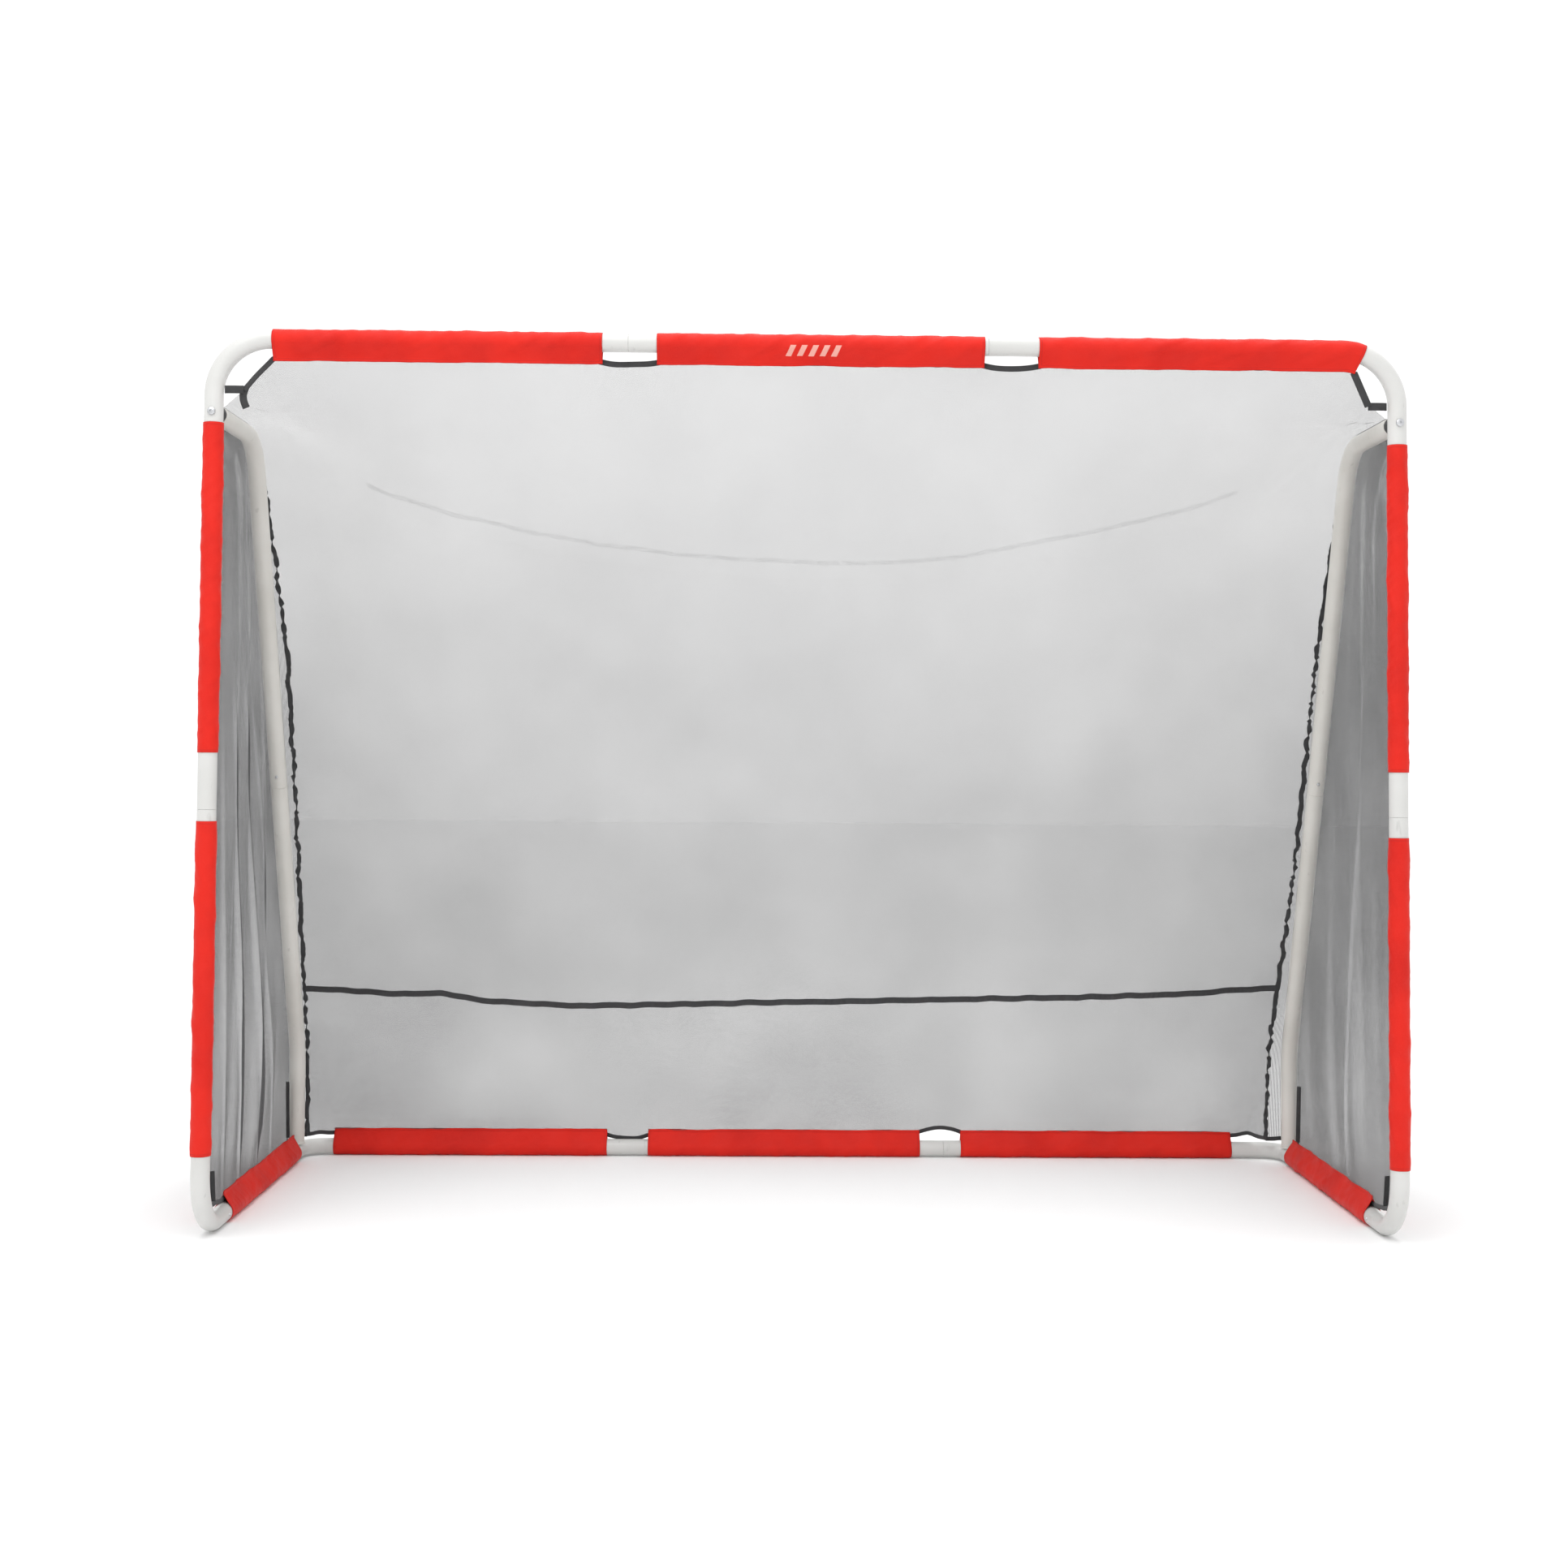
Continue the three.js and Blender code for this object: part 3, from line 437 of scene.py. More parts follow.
def lathe_mesh(name, profile, origin, direction, sides=40):
    """A turned piece. The profile is (radius, height) from its bottom to its top."""
    spin = Vector((0, 0, 1)).rotation_difference(direction).to_matrix()
    verts, faces = [], []
    for r, h in profile:
        for k in range(sides):
            a = 2 * math.pi * k / sides
            verts.append(Vector(origin) + spin @ Vector((r * math.cos(a), r * math.sin(a), h)))
    for j in range(len(profile) - 1):
        for i in range(sides):
            a, b, k = j * sides, (j + 1) * sides, (i + 1) % sides
            faces.append((a + i, a + k, b + k, b + i))
    faces.append(tuple(range(sides - 1, -1, -1)))
    faces.append(tuple(range((len(profile) - 1) * sides, len(profile) * sides)))
    return add_mesh(name, verts, faces)


def cut(obj, cutter):
    m = obj.modifiers.new("cut", "BOOLEAN")
    m.object, m.operation, m.solver = cutter, "DIFFERENCE", "EXACT"
    graph = bpy.context.evaluated_depsgraph_get()
    mesh = bpy.data.meshes.new_from_object(obj.evaluated_get(graph))
    obj.modifiers.clear()
    obj.data = mesh
    bpy.data.objects.remove(cutter)


def ripples(seed, *axes):
    """Smooth, repeatable unevenness, about -1 to 1: each axis is (values, wavelength)."""
    random = np.random.default_rng(seed)
    total = 0.0
    for k in range(4):
        phase = random.uniform(0, 2 * math.pi)
        for values, wavelength in axes:
            phase = phase + values * 2 * math.pi / wavelength * random.uniform(0.6, 1.5) * (1 + 0.5 * k)
        total = total + np.sin(phase) / (1 + 0.6 * k)
    return total / 2.0


def ribbon(name, line, across, width, thickness=0.0012, waver=0.0, seed=0, twist=0.0, pitch=0.007):
    """A tape along a line of points, its width along `across`, as a closed strip with rounded edges."""
    line = np.array(line, float)
    step = np.linalg.norm(np.diff(line, axis=0), axis=1)
    along = np.concatenate([[0], np.cumsum(step)])
    count = max(2, int(along[-1] / pitch))
    spots = np.linspace(0, along[-1], count)
    centre = np.stack([np.interp(spots, along, line[:, k]) for k in range(3)], axis=1)
    tangent = np.gradient(centre, axis=0)
    tangent /= np.linalg.norm(tangent, axis=1)[:, None]
    side = np.array([across(p) for p in centre], float)
    side -= tangent * (side * tangent).sum(1)[:, None]
    side /= np.linalg.norm(side, axis=1)[:, None]
    face = np.cross(tangent, side)
    if twist:
        turn = (twist * ripples(seed + 5, (spots, 0.06)))[:, None]
        side, face = side * np.cos(turn) + face * np.sin(turn), face * np.cos(turn) - side * np.sin(turn)
    if waver:
        fade = np.minimum(1, np.minimum(spots, spots[-1] - spots) / 0.03)[:, None]
        centre = centre + side * (waver * ripples(seed, (spots, 0.11)))[:, None] * fade
        centre = centre + face * (0.5 * waver * ripples(seed + 1, (spots, 0.16)))[:, None] * fade
    w, t = width / 2, thickness / 2
    section = [(-w, -t * .4), (-w * .92, -t), (0, -t), (w * .92, -t), (w, -t * .4),
               (w, t * .4), (w * .92, t), (0, t), (-w * .92, t), (-w, t * .4)]
    rings = np.stack([centre + side * a + face * b for a, b in section], axis=1)
    round_it = [[a for a, _ in section]]
    uv = np.stack([np.repeat(spots[:, None], len(section), 1), np.repeat(round_it, count, 0)], axis=2)
    return add_caps(add_grid(name, rings, uv, wrap=True), len(section), count)


def add_caps(obj, columns, rows):
    """Closes both ends of a strip."""
    uv = [tuple(x.uv) for x in obj.data.uv_layers[0].data]
    verts = [tuple(v.co) for v in obj.data.vertices]
    faces = [tuple(p.vertices) for p in obj.data.polygons]
    first = tuple(range(columns - 1, -1, -1))
    last = tuple(range((rows - 1) * columns, rows * columns))
    name = obj.name
    bpy.data.objects.remove(obj)
    made = add_mesh(name, verts, faces + [first, last])
    layer = made.data.uv_layers.new(name="cloth")
    for k, value in enumerate(uv):
        layer.data[k].uv = value
    return made


# ---- Frame tubes, joints and fixings --------------------------------------------------------

X, Y, Z = Vector((1, 0, 0)), Vector((0, 1, 0)), Vector((0, 0, 1))


class Joint:
    """A push-together joint: where the tubes meet, where its spigot points, and where its button faces."""

    def __init__(self, name, seam, direction, facing):
        self.name, self.seam = name, seam
        self.direction, self.facing = direction, facing
        self.centre = seam + direction * SPIGOT_LENGTH / 2
        self.mouth = seam + direction * GAP


def make_joints():
    found = []
    stay_share = (STAY_Z - STAY_SEAM) / (STAY_Z - ANKLE_Z)
    facing = SLOPE.cross(X).normalized()
    if facing.y > 0:
        facing = -facing
    for side, sign in SIDES:
        x = sign * POST_X
        knee, ankle = at(x, KNEE_Y, STAY_Z), at(x, FOOT_Y, ANKLE_Z)
        found += [
            Joint("crossbar_" + side, at(sign * SEAM_X, BAR_Y, TOP_Z), X * sign, Y),
            Joint("rear_bar_" + side, at(sign * SEAM_X, REAR_Y, BAR_Z), X * sign, Y),
            Joint("upright_" + side, at(x, BAR_Y, UPRIGHT_SEAM), Z, Y),
            Joint("side_bar_" + side, at(x, BAR_Y + SIDE_SEAM, BAR_Z), Y, X * -sign),
            Joint("stay_" + side, knee.lerp(ankle, stay_share), -SLOPE, facing),
        ]
    return {j.name: j for j in found}


JOINTS = make_joints()


def add_tube(name, corners, radii, side_axis, holes=(), material=None):
    obj = tube_mesh(name + "_painted", route(corners, radii), side_axis)
    for j in holes:
        cutter = lathe_mesh("cutter", [(HOLE_R, 0.010), (HOLE_R, 0.030)], j.centre, j.facing, 24)
        cut(obj, cutter)
    return finish_piece(obj, material or PAINT, "frame", [name], 30)


def add_frame():
    for name, y, z in (("crossbar", BAR_Y, TOP_Z), ("rear_bar", REAR_Y, BAR_Z)):
        add_tube(name + "_center_tube", [at(-SEAM_X, y, z), at(SEAM_X, y, z)], [], Y)
    for side, sign in SIDES:
        x = sign * POST_X
        j = {key: JOINTS[f"{key}_{side}"] for key in ("crossbar", "rear_bar", "upright", "side_bar", "stay")}
        add_tube(f"top_corner_tube_{side}", [j["crossbar"].mouth, at(x, BAR_Y, TOP_Z), j["upright"].mouth],
                 [TOP_BEND], Y, (j["crossbar"], j["upright"]))
        add_tube(f"lower_corner_tube_{side}", [j["upright"].seam, at(x, BAR_Y, BAR_Z), j["side_bar"].seam],
                 [FRONT_BEND], X)
        add_tube(f"rear_corner_tube_{side}", [j["side_bar"].mouth, at(x, REAR_Y, BAR_Z), j["rear_bar"].mouth],
                 [REAR_BEND], Z, (j["side_bar"], j["rear_bar"]))
        top, knee = at(x, STAY_START_Y, STAY_Z), at(x, KNEE_Y, STAY_Z)
        ankle, foot = at(x, FOOT_Y, ANKLE_Z), at(x, FOOT_Y, BAR_Z + TUBE + GAP)
        add_tube(f"upper_stay_{side}", [top, knee, j["stay"].mouth], [TOP_BEND], X, (j["stay"],), PAINT_STAY)
        add_tube(f"lower_stay_{side}", [j["stay"].seam, ankle, foot], [STAY_FOOT_BEND], X, (), PAINT_STAY)
        bead = [(TUBE * 0.9, -0.0015), (TUBE + 0.0022, -0.0012), (TUBE + 0.0027, 0.0008),
                (TUBE + 0.0012, 0.0030), (TUBE * 0.95, 0.0036)]
        weld = lathe_mesh(f"stay_foot_collar_{side}", bead, foot, Z, 48)
        finish_piece(weld, PAINT_STAY, "frame", (), 60)


def add_buttons():
    shoulder = BUTTON_TOP - BUTTON_EDGE
    dome = [(FLANGE_R, FLANGE_BOTTOM), (FLANGE_R, FLANGE_TOP), (BUTTON_R, FLANGE_TOP), (BUTTON_R, shoulder)]
    dome += [(BUTTON_R * math.cos(a), shoulder + BUTTON_EDGE * math.sin(a)) for a in (0.4, 0.8, 1.15, 1.45)]
    for name, j in JOINTS.items():
        button = lathe_mesh(f"button_{name}_dome", dome, j.centre, j.facing, 32)
        finish_piece(button, ZINC, "button_" + name, ["button_" + name], 50)


def add_springs():
    """A V of strip at each button, closing as it goes in: its far leg lies by the far wall and its near leg
    under the button.
    """
    line = [(SPRING_PAD, SPRING_NEAR), (-SPRING_PAD, SPRING_NEAR)]
    line += [(SPRING_NOSE - SPRING_REACH - SPRING_NOSE * math.sin(a), SPRING_NOSE * math.cos(a))
             for a in np.linspace(0, math.pi, 13)]
    line += [(-SPRING_PAD, SPRING_FAR), (SPRING_PAD, SPRING_FAR)]
    for name, j in JOINTS.items():
        across = j.direction.cross(j.facing)
        points = [j.centre + j.direction * u + j.facing * v for u, v in line]
        strip = ribbon(f"spring_{name}_strip", points, lambda _: across, SPRING_WIDTH, SPRING_THICKNESS,
                       pitch=0.001)
        finish_piece(strip, SPRING, None, ["spring_" + name], 50)
        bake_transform(strip)


def add_bolts():
    for side, sign in SIDES:
        centre = at(sign * POST_X, BAR_Y, STAY_Z)
        head = [(BOLT_R, BOLT_END), (BOLT_R, TUBE + GAP), (BOLT_HEAD_R, TUBE + GAP)]
        head += [(BOLT_HEAD_R * math.cos(a), TUBE + 0.0028 + 0.0025 * math.sin(a))
                 for a in (0.0, 0.35, 0.7, 1.0, 1.25)]
        bolt = lathe_mesh(f"stay_bolt_{side}_head", head, centre, -Y, 48)
        socket = [(SOCKET_R, TUBE + 0.0025), (SOCKET_R, TUBE + 0.012)]
        cut(bolt, lathe_mesh("cutter", socket, centre, -Y, 6))
        finish_piece(bolt, ZINC, "frame", ["stay_bolt_" + side], 30)


def dress_cad_nodes():
    """The saddles and inserts keep their CAD shape, with a fine bevel."""
    material = {"stay_saddle": PLASTIC, "stay_insert": ZINC}
    for name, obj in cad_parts.items():
        found = [m for key, m in material.items() if name.startswith(key)]
        if not found:
            continue
        obj.data.materials.clear()
        obj.data.materials.append(found[0])
        edge = obj.modifiers.new("edge", "BEVEL")
        edge.width, edge.segments, edge.limit_method = 0.00015, 1, "ANGLE"


# ---- Sleeves --------------------------------------------------------------------------------

def sleeve_mesh(name, stations, flap_axis, seed):
    """One cut of cloth, wrapped round the tube, with both its edges lying together as a flap."""
    stations = split_long(stations, 0.005)
    along = lengths(stations)
    middle = SLEEVE_R - 0.0005
    half_gap = 0.00062
    tip, sewn = FLAP_REACH - 0.0006, FLAP_REACH - 0.0075
    leave = math.acos(middle / sewn)
    tangent = (middle * math.cos(leave), middle * math.sin(leave))
    side = [(tip, half_gap), ((tip + sewn) / 2, half_gap), (sewn, half_gap)]
    side += [(sewn + (tangent[0] - sewn) * k / 9, half_gap + (tangent[1] - half_gap) * k / 9)
             for k in range(1, 9)]
    turn = np.linspace(leave, 2 * math.pi - leave, 45)
    section = side + [(middle * math.cos(a), middle * math.sin(a)) for a in turn]
    section = np.array(section + [(r, -h) for r, h in reversed(side)])
    cloth = np.concatenate([[0], np.cumsum(np.linalg.norm(np.diff(section, axis=0), axis=1))])
    width = cloth[-1]
    reach = np.hypot(section[:, 0], section[:, 1])
    on_tube = np.clip((FLAP_REACH - reach) / FLAP, 0, 1)
    on_flap = 1 - on_tube
    total = along[-1]
    u, v = np.meshgrid(along, cloth, indexing="ij")
    angle = np.arctan2(section[:, 1], section[:, 0])[None, :]
    soft = np.minimum(1, np.minimum(u, total - u) / 0.04)
    swell = np.clip(ripples(seed, (u + 0.8 * v, 0.15), (v, 0.12)), 0, 1) * 0.0017
    swell += np.clip(ripples(seed + 1, (u - 1.2 * v, 0.045), (v, 0.08)), -0.2, 1) * 0.0008 + 0.0002
    swell = swell * (0.25 + 0.75 * on_tube[None, :]) * (0.35 + 0.65 * soft)
    wave = ripples(seed + 2, (u, 0.22)) * 0.0026 + ripples(seed + 3, (u, 0.07)) * 0.0009
    short = np.clip(ripples(seed + 4, (u, 0.3)), 0, 1) * 0.0016
    points = np.zeros((len(stations), len(section), 3))
    for k, (p, t) in enumerate(stations):
        out = (Vector(flap_axis) - t * Vector(flap_axis).dot(t)).normalized()
        side = t.cross(out)
        r = np.where(on_flap > 0, section[:, 0] - short[k] * on_flap, section[:, 0])
        a = r + swell[k] * np.cos(angle[0])
        b = section[:, 1] + swell[k] * np.sin(angle[0]) + wave[k] * on_flap ** 2
        points[k] = np.array(p) + np.outer(a, np.array(out)) + np.outer(b, np.array(side))
    obj = add_grid(name, points, np.stack([u, v], axis=2))
    edge = np.minimum(np.minimum(u, total - u), np.minimum(v, width - v))
    layer = obj.data.attributes.new("edge", "FLOAT", "POINT")
    layer.data.foreach_set("value", edge.ravel().astype(np.float32))
    thick = obj.modifiers.new("cloth", "SOLIDIFY")
    thick.thickness, thick.offset = 0.0009, 0.0
    return obj, (total, width)


def add_sleeves():
    corners = [JOINTS["crossbar_right"].mouth, at(POST_X, BAR_Y, TOP_Z), at(POST_X, BAR_Y, 1.0)]
    bend = route(corners, [TOP_BEND], 3.75)[1:8]
    for k, name in enumerate(sorted(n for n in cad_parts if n.startswith("sleeve_"))):
        lo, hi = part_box(name)
        if name == "sleeve_crossbar_right":
            stations, out = [(at(lo.x, BAR_Y, TOP_Z), X)] + bend, -Z
        elif "crossbar" in name:
            stations, out = route([at(lo.x, BAR_Y, TOP_Z), at(hi.x, BAR_Y, TOP_Z)], []), -Z
        elif "rear_bar" in name:
            stations, out = route([at(lo.x, REAR_Y, BAR_Z), at(hi.x, REAR_Y, BAR_Z)], []), Z
        elif "upright" in name:
            x = POST_X if "_right" in name else -POST_X
            stations, out = route([at(x, BAR_Y, lo.z), at(x, BAR_Y, hi.z)], []), Y
        else:
            x = POST_X if "_right" in name else -POST_X
            stations, out = route([at(x, lo.y, BAR_Z), at(x, hi.y, BAR_Z)], []), Z
        made, (length, width) = sleeve_mesh(name + "_cloth", stations, out, 100 + 11 * k)
        material = NYLON_MARKED if name == "sleeve_crossbar_center" else NYLON
        finish_piece(made, material, "frame", [name], 60)


# ---- Net ------------------------------------------------------------------------------------

def stay_line():
    """The stay's middle, seen from the side: its stations, and the length up to each."""
    corners = [at(0, BAR_Y + 0.070, STAY_Z), at(0, KNEE_Y, STAY_Z), at(0, FOOT_Y, ANKLE_Z),
               at(0, FOOT_Y, NET_BOTTOM)]
    stations = split_long(route(corners, [TOP_BEND, STAY_FOOT_BEND]), 0.012)
    return stations, lengths(stations)


STAY, STAY_ALONG = stay_line()
SHARE = STAY_ALONG / STAY_ALONG[-1]
SEAM_INSET = {
    -1: np.interp(SHARE, (0.13, 0.20, 0.28, 0.39, 0.58, 0.74, 0.90, 1.0),
                  (0.002, 0.010, 0.022, 0.034, 0.030, 0.023, 0.018, 0.021)),
    1: np.interp(SHARE, (0.14, 0.22, 0.30, 0.39, 0.66, 0.77, 0.90, 1.0),
                 (0.002, 0.007, 0.015, 0.022, 0.025, 0.034, 0.044, 0.052)),
}
BOTTOM_DROP = np.exp((SHARE - 1) / 0.02)
STAY_P = np.array([[p.y, p.z] for p, _ in STAY])
STAY_N = np.array([[-t.z, t.y] for _, t in STAY])
LEAD_ROWS = 7                         # rows of the roof between the front hem and the stays
CREASE_ROW = int(np.argmax(STAY_P[:, 1] < STAY_Z - TOP_BEND / 4))


def seam_points(sign, lift=0.0):
    """The seam between the back and one side, down the stay."""
    yz = STAY_P + STAY_N * (STANDOFF + lift) - np.outer(BOTTOM_DROP, (0, 0.010))
    return np.column_stack([sign * (POST_X - SEAM_INSET[sign]), yz])


def main_net_points(columns=281):
    """The roof and back: the hem straight, the edges on the stays, the middle hanging in a sag."""
    seam = seam_points(1)
    start = np.array(NET_CORNER)
    lead = [start + (seam[0] - start) * k / LEAD_ROWS for k in range(LEAD_ROWS)]
    edge = np.vstack([lead, seam])
    crease = CREASE_ROW + LEAD_ROWS
    last = len(edge) - 1
    along = np.concatenate([[0], np.cumsum(np.linalg.norm(np.diff(edge, axis=0), axis=1))])
    first, fold = np.array([0, BAR_Y, NET_TOP]), np.array(CREASE_MIDDLE)
    end = np.array([0, REAR_Y, NET_BOTTOM])
    middle = np.zeros_like(edge)
    for i in range(last + 1):
        if i <= crease:
            middle[i] = first + (fold - first) * along[i] / along[crease]
        else:
            share = (edge[crease, 2] - edge[i, 2]) / (edge[crease, 2] - edge[last, 2])
            middle[i] = fold + (end - fold) * share
    s = np.linspace(-1, 1, columns)
    hem_end = np.where(s < 0, HEM_END, HEM_END + 0.028) / NET_CORNER.x
    hem_pull = np.maximum(0, (np.abs(s) - hem_end) / (1 - hem_end))
    row = np.arange(last + 1)
    from_hem = np.minimum(1, np.minimum(row / (0.3 * crease), (last - row) / 26.0))[:, None]
    level = np.clip((0.97 - np.abs(s)) / 0.14, 0, 1)
    sag = (1 - s ** 2) * level ** 2 * (3 - 2 * level)
    pull = hem_pull * (1 - from_hem) + (1 - sag) * from_hem
    points = middle[:, None, :] + (edge - middle)[:, None, :] * pull[:, :, None]
    left = edge[:, 0].copy()
    left[LEAD_ROWS:] = -seam_points(-1)[:, 0]
    points[:, :, 0] = np.where(s[None, :] < 0, left[:, None], edge[:, 0, None]) * s[None, :]
    x = points[:, :, 0]
    top = np.exp(-row / 5.0)[:, None] * (1 - hem_pull)[None, :]
    points[:, :, 2] += top * (0.0100 - 0.0080 * gaps(x, TOP_GAPS))
    points[:, :, 1] += top * 0.0055
    points[:, :, 2] -= np.exp(-row / 3.0)[:, None] * (hem_pull * (s > 0))[None, :] * 0.012
    low = np.exp(-(last - row) / 5.0)[:, None] * np.minimum(1, (1 - np.abs(s)) / 0.05)[None, :]
    points[:, :, 2] -= low * (0.0130 + 0.0130 * gaps(x, REAR_GAPS[:1]) - 0.0150 * gaps(x, REAR_GAPS[1:]))
    points[:, :, 1] += low * 0.0060
    return points, crease, s


def gaps(x, spans):
    """1 over the bare tube between two sleeves, 0 beside it."""
    total = 0.0
    for start, end in spans:
        share = np.clip((x - start + 0.012) / (end - start + 0.024), 0, 1)
        total = total + np.sin(math.pi * share) ** 0.7
    return total


def sleeve_gaps(kind):
    boxes = [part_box(f"sleeve_{kind}_{part}") for part in ("left", "center", "right")]
    return [(a[1].x, b[0].x) for a, b in zip(boxes, boxes[1:])]


TOP_GAPS = sleeve_gaps("crossbar")
REAR_GAPS = sleeve_gaps("rear_bar")


def smooth_normals(points):
    down, across = np.gradient(points, axis=0), np.gradient(points, axis=1)
    n = np.cross(across, down)
    return n / np.maximum(np.linalg.norm(n, axis=2)[:, :, None], 1e-9)


def cloth_uv(points):
    """Lengths along the cloth, from its middle column and its first row."""
    du = np.linalg.norm(np.diff(points, axis=1), axis=2).mean(0)
    dv = np.linalg.norm(np.diff(points, axis=0), axis=2).mean(1)
    u, v = np.concatenate([[0], np.cumsum(du)]), np.concatenate([[0], np.cumsum(dv)])
    return np.stack(np.meshgrid(u, v), axis=2)


def add_main_net():
    points, crease, s = main_net_points()
    flat = points.copy()
    rows = len(points)
    v = np.linspace(0, 1, rows)[:, None]
    x = points[:, :, 0]
    z = points[:, :, 2]
    inside = np.minimum(1, (1 - np.abs(s)) / 0.05)[None, :] * np.minimum(1, np.minimum(v, 1 - v) / 0.05)
    drape = ripples(21, (x, 1.3), (z, 2.2)) * 0.010 + ripples(22, (x, 0.42), (z, 1.1)) * 0.0045
    pulls = 0.0
    for sign in (-1, 1):
        reach = np.hypot(x - sign * 1.0, z - 0.1)
        bearing = np.arctan2(z - 0.1, -sign * (x - sign * 1.15))
        pulls = pulls + np.sin(bearing * 11) * np.exp(-reach / 0.5) * 0.0028
        reach = np.hypot(x - sign * 1.14, z - 1.70)
        bearing = np.arctan2(1.72 - z, -sign * (x - sign * 1.18))
        pulls = pulls + np.sin(bearing * 9) * np.exp(-reach / 0.4) * 0.0030
    fold = np.exp(-(((np.arange(rows) - crease) / 2.2) ** 2))[:, None] * -0.006
    points = points + smooth_normals(points) * ((drape + pulls + fold) * inside)[:, :, None]
    net = add_grid("net_back_and_roof", points, cloth_uv(flat))
    finish_piece(net, NET_BACK, "frame", ["net_roof", "net_back"], 60)
    return net, points, crease


SIDE_COLUMNS = 180
PLEATS = {-1: ((0.16, 0.0070), (0.33, 0.0095), (0.56, 0.0080), (0.76, 0.0050)), 1: ((0.42, 0.0035),)}


def side_net_points(sign):
    """A side panel, from behind the upright to the seam, round the outside of the stay."""
    corner_reach = FRONT_BEND - TUBE - 0.0123
    angle = math.radians(51)
    centre = (BAR_Y + FRONT_BEND, BAR_Z + FRONT_BEND)
    corner = (centre[0] - math.cos(angle) * corner_reach, centre[1] - math.sin(angle) * corner_reach)
    cut_z = centre[1] - 0.0043
    front_y = BAR_Y + FLAP_REACH + NET_CLEAR
    rows = []
    for k, share in enumerate(SHARE):
        z = STAY_Z - 0.100 + (corner[1] - STAY_Z + 0.100) * share
        cut_share = max(0.0, (cut_z - z) / (cut_z - corner[1]))
        front = np.array([POST_X, front_y + (corner[0] - front_y) * cut_share, z])
        p, n = STAY_P[k], STAY_N[k]
        outer = np.array([POST_X + STANDOFF, *p])
        run = [front + (outer - front) * f for f in np.linspace(0, 1, SIDE_COLUMNS + 1)[:-1]]
        for turn in np.linspace(0, math.pi / 2, 8):
            yz = p + n * STANDOFF * math.sin(turn)
            run.append(np.array([POST_X + STANDOFF * math.cos(turn), *yz]))
        run.append(np.array([POST_X - SEAM_INSET[sign][k], *(p + n * STANDOFF)]))
        rows.append(run)
    points = np.array(rows)
    points[:, :, 0] *= sign
    column = np.arange(points.shape[1])
    low = np.clip(column / (0.15 * SIDE_COLUMNS), 0, 1) * (column < SIDE_COLUMNS)
    points[:, :, 2] -= (0.010 + 0.014 * low)[None, :] * BOTTOM_DROP[:, None]
    return points


def add_side_net(side, sign):
    points = side_net_points(sign)
    flat = points.copy()
    part = np.clip(np.arange(points.shape[1]) / SIDE_COLUMNS, 0, 1)[None, :]
    v = SHARE[:, None]
    fade = np.sin(math.pi * part) ** 0.7 * np.minimum(1, np.minimum(v, 1 - v) / 0.06 + 0.25)
    seed = 41 if sign < 0 else 61
    span = part * (0.25 + 0.75 * v)
    folds = ripples(seed, (span, 0.42), (v, 2.6)) * 0.0070
    folds = folds + ripples(seed + 1, (span, 0.20), (v, 1.6)) * 0.0010
    belly = -0.006 * np.sin(math.pi * part)
    strength = 1.0 if sign < 0 else 0.4
    pleats = 0.0
    for share, depth in PLEATS[sign]:
        middle = share + 0.05 * (1 - v) + 0.012 * np.sin(5 * v + 9 * share)
        off = (part - middle) * (0.25 + 0.75 * v)
        pleats = pleats + depth * np.exp(-(off / 0.016) ** 2) * np.clip((v - 0.30) / 0.35, 0, 1) ** 0.7
    points[:, :, 0] += sign * (folds * strength + belly - pleats) * fade
    net = add_grid(f"net_side_{side}_cloth", points, cloth_uv(flat))
    depth = net.modifiers.new("thread_depth", "SOLIDIFY")
    depth.thickness, depth.offset, depth.use_rim = 0.00015, 0.0, False
    finish_piece(net, NET_SIDE, "frame", ["net_side_" + side], 60)
    return net, points


def tape(name, line, across, width, **kw):
    obj = ribbon(name, line, across, width, **kw)
    return finish_piece(obj, HEM_TAPE, "frame", (), 60)


CROSS_X = (-1.14, -0.93, -0.85, -0.75, -0.55, -0.05, 0.71, 0.90, 1.13)
CROSS_Z = (0.412, 0.403, 0.4065, 0.389, 0.381, 0.394, 0.4085, 0.4145, 0.4265)


def across_net(points):
    """Where the low cross tape is sewn: nearly level, a little lower left of the middle."""
    normals = smooth_normals(points)
    line = []
    for i in range(points.shape[1]):
        x = points[-1, i, 0]
        z = np.interp(x, CROSS_X, CROSS_Z)
        height = points[CREASE_ROW:, i, 2][::-1]
        p = [np.interp(z, height, points[CREASE_ROW:, i, k][::-1]) for k in range(3)]
        n = [np.interp(z, height, normals[CREASE_ROW:, i, k][::-1]) for k in range(3)]
        line.append(np.array(p) + np.array(n) * 0.0012)
    return np.array(line)


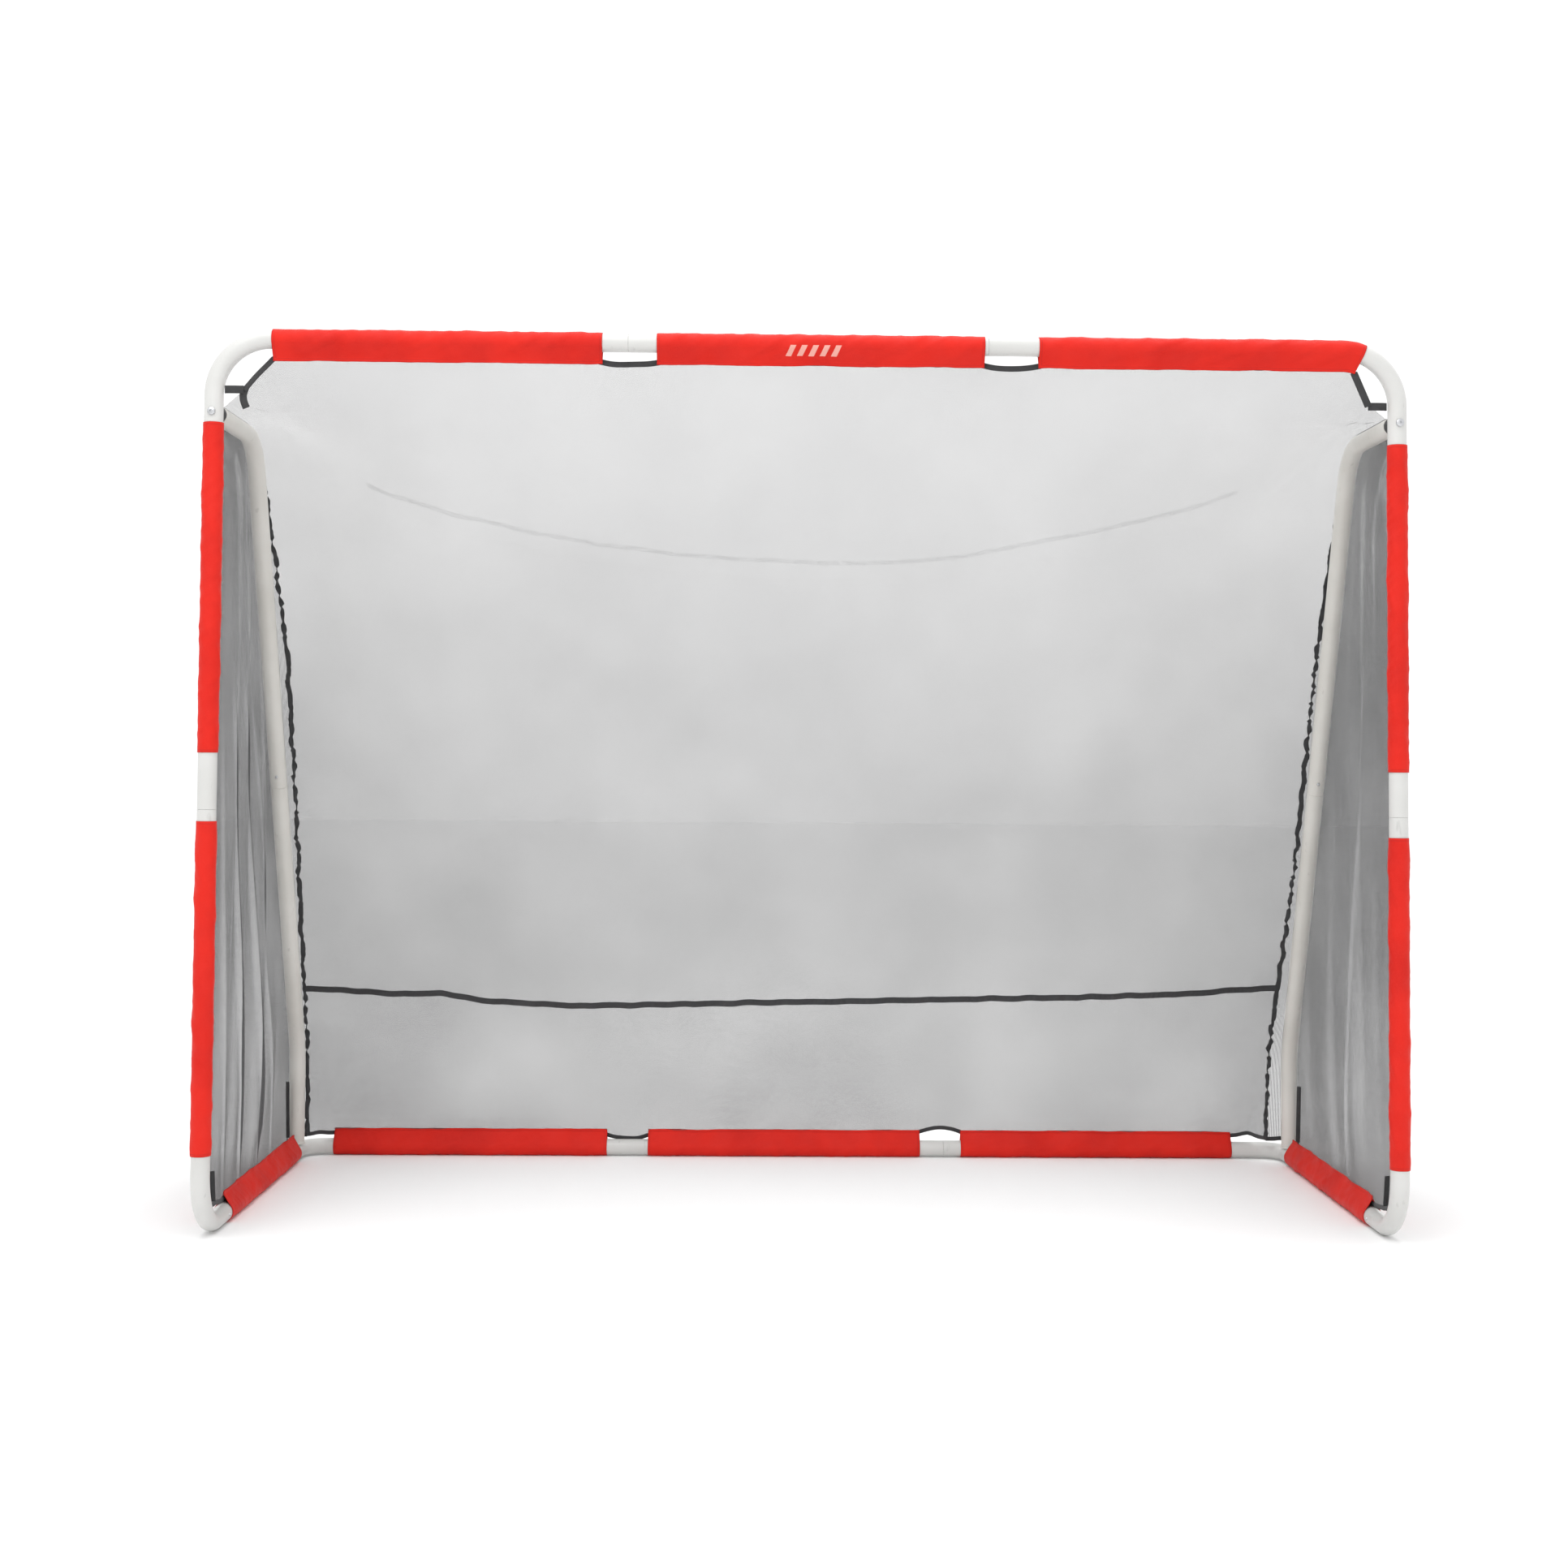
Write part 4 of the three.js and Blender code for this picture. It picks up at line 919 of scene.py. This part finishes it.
def add_net():
    net, points, crease = add_main_net()
    top = points[0].copy()
    pieces = [tape("hem_top", top, lambda p: (0, 0.25, 1), 0.0125, waver=0.0012, seed=3)]
    bottom = points[-1].copy()
    bottom[:, 2] += 0.001
    pieces.append(tape("hem_bottom", bottom, lambda p: (0, -0.2, 1), 0.010, waver=0.002, seed=4))
    for side, sign in SIDES:
        line = seam_points(sign, 0.0012)
        line = line[int(np.argmax(SHARE > 0.165)):]
        pieces.append(tape(f"seam_tape_{side}", line, lambda p: (1, 0, 0), 0.0120, waver=0.0032,
                           seed=7 + sign, twist=1.5))
    cross = across_net(points)
    pieces.append(tape("cross_tape", cross, lambda p: (0, 0.45, -0.89), 0.0165, waver=0.0014, seed=15))
    tuck = points[crease - 3] + smooth_normals(points)[crease - 3] * -0.0012
    strip = ribbon("net_tuck", tuck[30:-30], lambda p: (0, 0.5, -0.85), 0.010, thickness=0.0008,
                   waver=0.001, seed=17)
    pieces.append(finish_piece(strip, NET_TUCK, "frame", (), 60))
    for side, sign in SIDES:
        cloth, grid = add_side_net(side, sign)
        front = tape(f"side_hem_front_{side}", grid[:, 0], lambda p: (0, 1, 0), 0.009,
                     waver=0.0008, seed=23)
        low = tape(f"side_hem_bottom_{side}", grid[-1], lambda p: (0, 0, 1), 0.010,
                   waver=0.002, seed=27 + sign)


def add_straps():
    """Short webbing tabs that tie the net's corners to the frame."""
    for side, sign in SIDES:
        lo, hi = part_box("strap_top_" + side)
        z = (lo.z + hi.z) / 2
        inner, outer = (hi.x, lo.x) if sign < 0 else (lo.x, hi.x)
        drop = 0.012 if sign > 0 else 0.0
        line = [(inner + (outer - inner) * k / 8, BAR_Y - 0.0015 * math.sin(math.pi * k / 8), z - drop)
                for k in range(9)]
        strap = ribbon(f"strap_top_{side}_web", line, lambda p: (0, 0, 1), 0.016, thickness=0.0024)
        finish_piece(strap, WEBBING, "frame", ["strap_top_" + side], 60)
        if sign < 0:
            tab = [(inner + 0.004 - 0.006 * math.sin(0.4 * k), BAR_Y + 0.001 + 0.006 * k / 8,
                    z + 0.006 - 0.042 * k / 8) for k in range(9)]
        else:
            start = np.array([inner, BAR_Y - 0.002, z - drop])
            end = np.array([HEM_END + 0.030, BAR_Y, NET_TOP])
            tab = [start + (end - start) * k / 8 for k in range(9)]
        piece = ribbon(f"net_corner_tab_{side}", tab, lambda p: (1, 0, 0), 0.015, thickness=0.0022)
        finish_piece(piece, WEBBING, "frame", (), 60)
        fall = [(sign * (POST_X + 0.0165), FOOT_Y - 0.031 + 0.012 * k / 6, 0.190 - 0.135 * k / 6)
                for k in range(7)]
        tie = ribbon(f"side_tie_rear_{side}", fall, lambda p: (1, -0.5, 0), 0.010, thickness=0.0018)
        finish_piece(tie, WEBBING, "frame", (), 60)
        lo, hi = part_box("strap_front_" + side)
        x = (lo.x + hi.x) / 2
        fall = [(sign * (POST_X - 0.005), BAR_Y + 0.070 + 0.012 * k / 6, 0.128 - 0.063 * k / 6)
                for k in range(7)]
        tie = ribbon(f"side_tie_front_{side}", fall, lambda p: (1, 0.3, 0), 0.012, thickness=0.0018)
        finish_piece(tie, WEBBING, "frame", (), 60)
        near, far = np.array([x, hi.y, hi.z]), np.array([x, lo.y, lo.z])
        line = [near + (far - near) * k / 6 for k in range(7)]
        strap = ribbon(f"strap_front_{side}_web", line, lambda p: (0, 1, -1), 0.012, thickness=0.0024)
        finish_piece(strap, WEBBING, "frame", ["strap_front_" + side], 60)


# ---- Camera, light and floor ----------------------------------------------------------------

LENS, SENSOR = 48.42, 36.0            # millimetres
SHIFT_X, SHIFT_Y = -0.0052, -0.0659
CAMERA_AT = (-0.0984, -4.7287, 0.9592)
YAW, PITCH, ROLL = 0.94, 2.267, 0.413 # degrees
WORLD_STRENGTH = 1.12
FLOOR_HALF = 30.0


def add_camera():
    camera = bpy.data.cameras.new("camera")
    camera.lens, camera.sensor_width = LENS, SENSOR
    camera.shift_x, camera.shift_y = SHIFT_X, SHIFT_Y
    obj = bpy.data.objects.new("camera", camera)
    obj.location = CAMERA_AT
    yaw, pitch, roll = math.radians(YAW), math.radians(PITCH), math.radians(ROLL)
    turn = Matrix.Rotation(-yaw, 4, "Z") @ Matrix.Rotation(math.pi / 2 + pitch, 4, "X")
    turn = turn @ Matrix.Rotation(roll, 4, "Z")
    obj.matrix_world = Matrix.Translation(obj.location) @ turn
    bpy.context.scene.collection.objects.link(obj)
    bpy.context.scene.camera = obj


def add_light(name, location, target, size, power):
    light = bpy.data.lights.new(name, "AREA")
    light.shape, light.size, light.energy = "DISK", size, power
    obj = bpy.data.objects.new(name, light)
    obj.location = location
    aim = (Vector(target) - Vector(location)).to_track_quat("-Z", "Y")
    obj.rotation_euler = aim.to_euler()
    bpy.context.scene.collection.objects.link(obj)


def add_studio():
    scene = bpy.context.scene
    scene.view_settings.view_transform = "Standard"
    world = bpy.data.worlds.new("studio")
    world.use_nodes = True
    world.node_tree.nodes["Background"].inputs[0].default_value = (1, 1, 1, 1)
    world.node_tree.nodes["Background"].inputs[1].default_value = WORLD_STRENGTH
    scene.world = world
    add_light("key", (-1.2, -2.6, 4.2), (0, 0, 0.9), 3.0, 60)
    add_light("top", (0.6, 0.2, 4.6), (0, 0, 0.3), 3.5, 70)
    corners = [(x * FLOOR_HALF, y * FLOOR_HALF, 0) for x, y in ((-1, -1), (1, -1), (1, 1), (-1, 1))]
    floor = add_mesh("floor", corners, [(0, 1, 2, 3)])
    m, nt, shader = new_material("floor", (0.95, 0.95, 0.95), 0.9)
    tone = ramp(nt, noise(nt, place(nt), 2), (0.945, 0.945, 0.945), (0.955, 0.955, 0.955))
    nt.links.new(tone, shader.inputs["Base Color"])
    floor.data.materials.append(m)
    floor.location.z = -0.0005


add_frame()
add_buttons()
add_springs()
add_bolts()
dress_cad_nodes()
add_sleeves()
add_net()
add_straps()
add_camera()
add_studio()
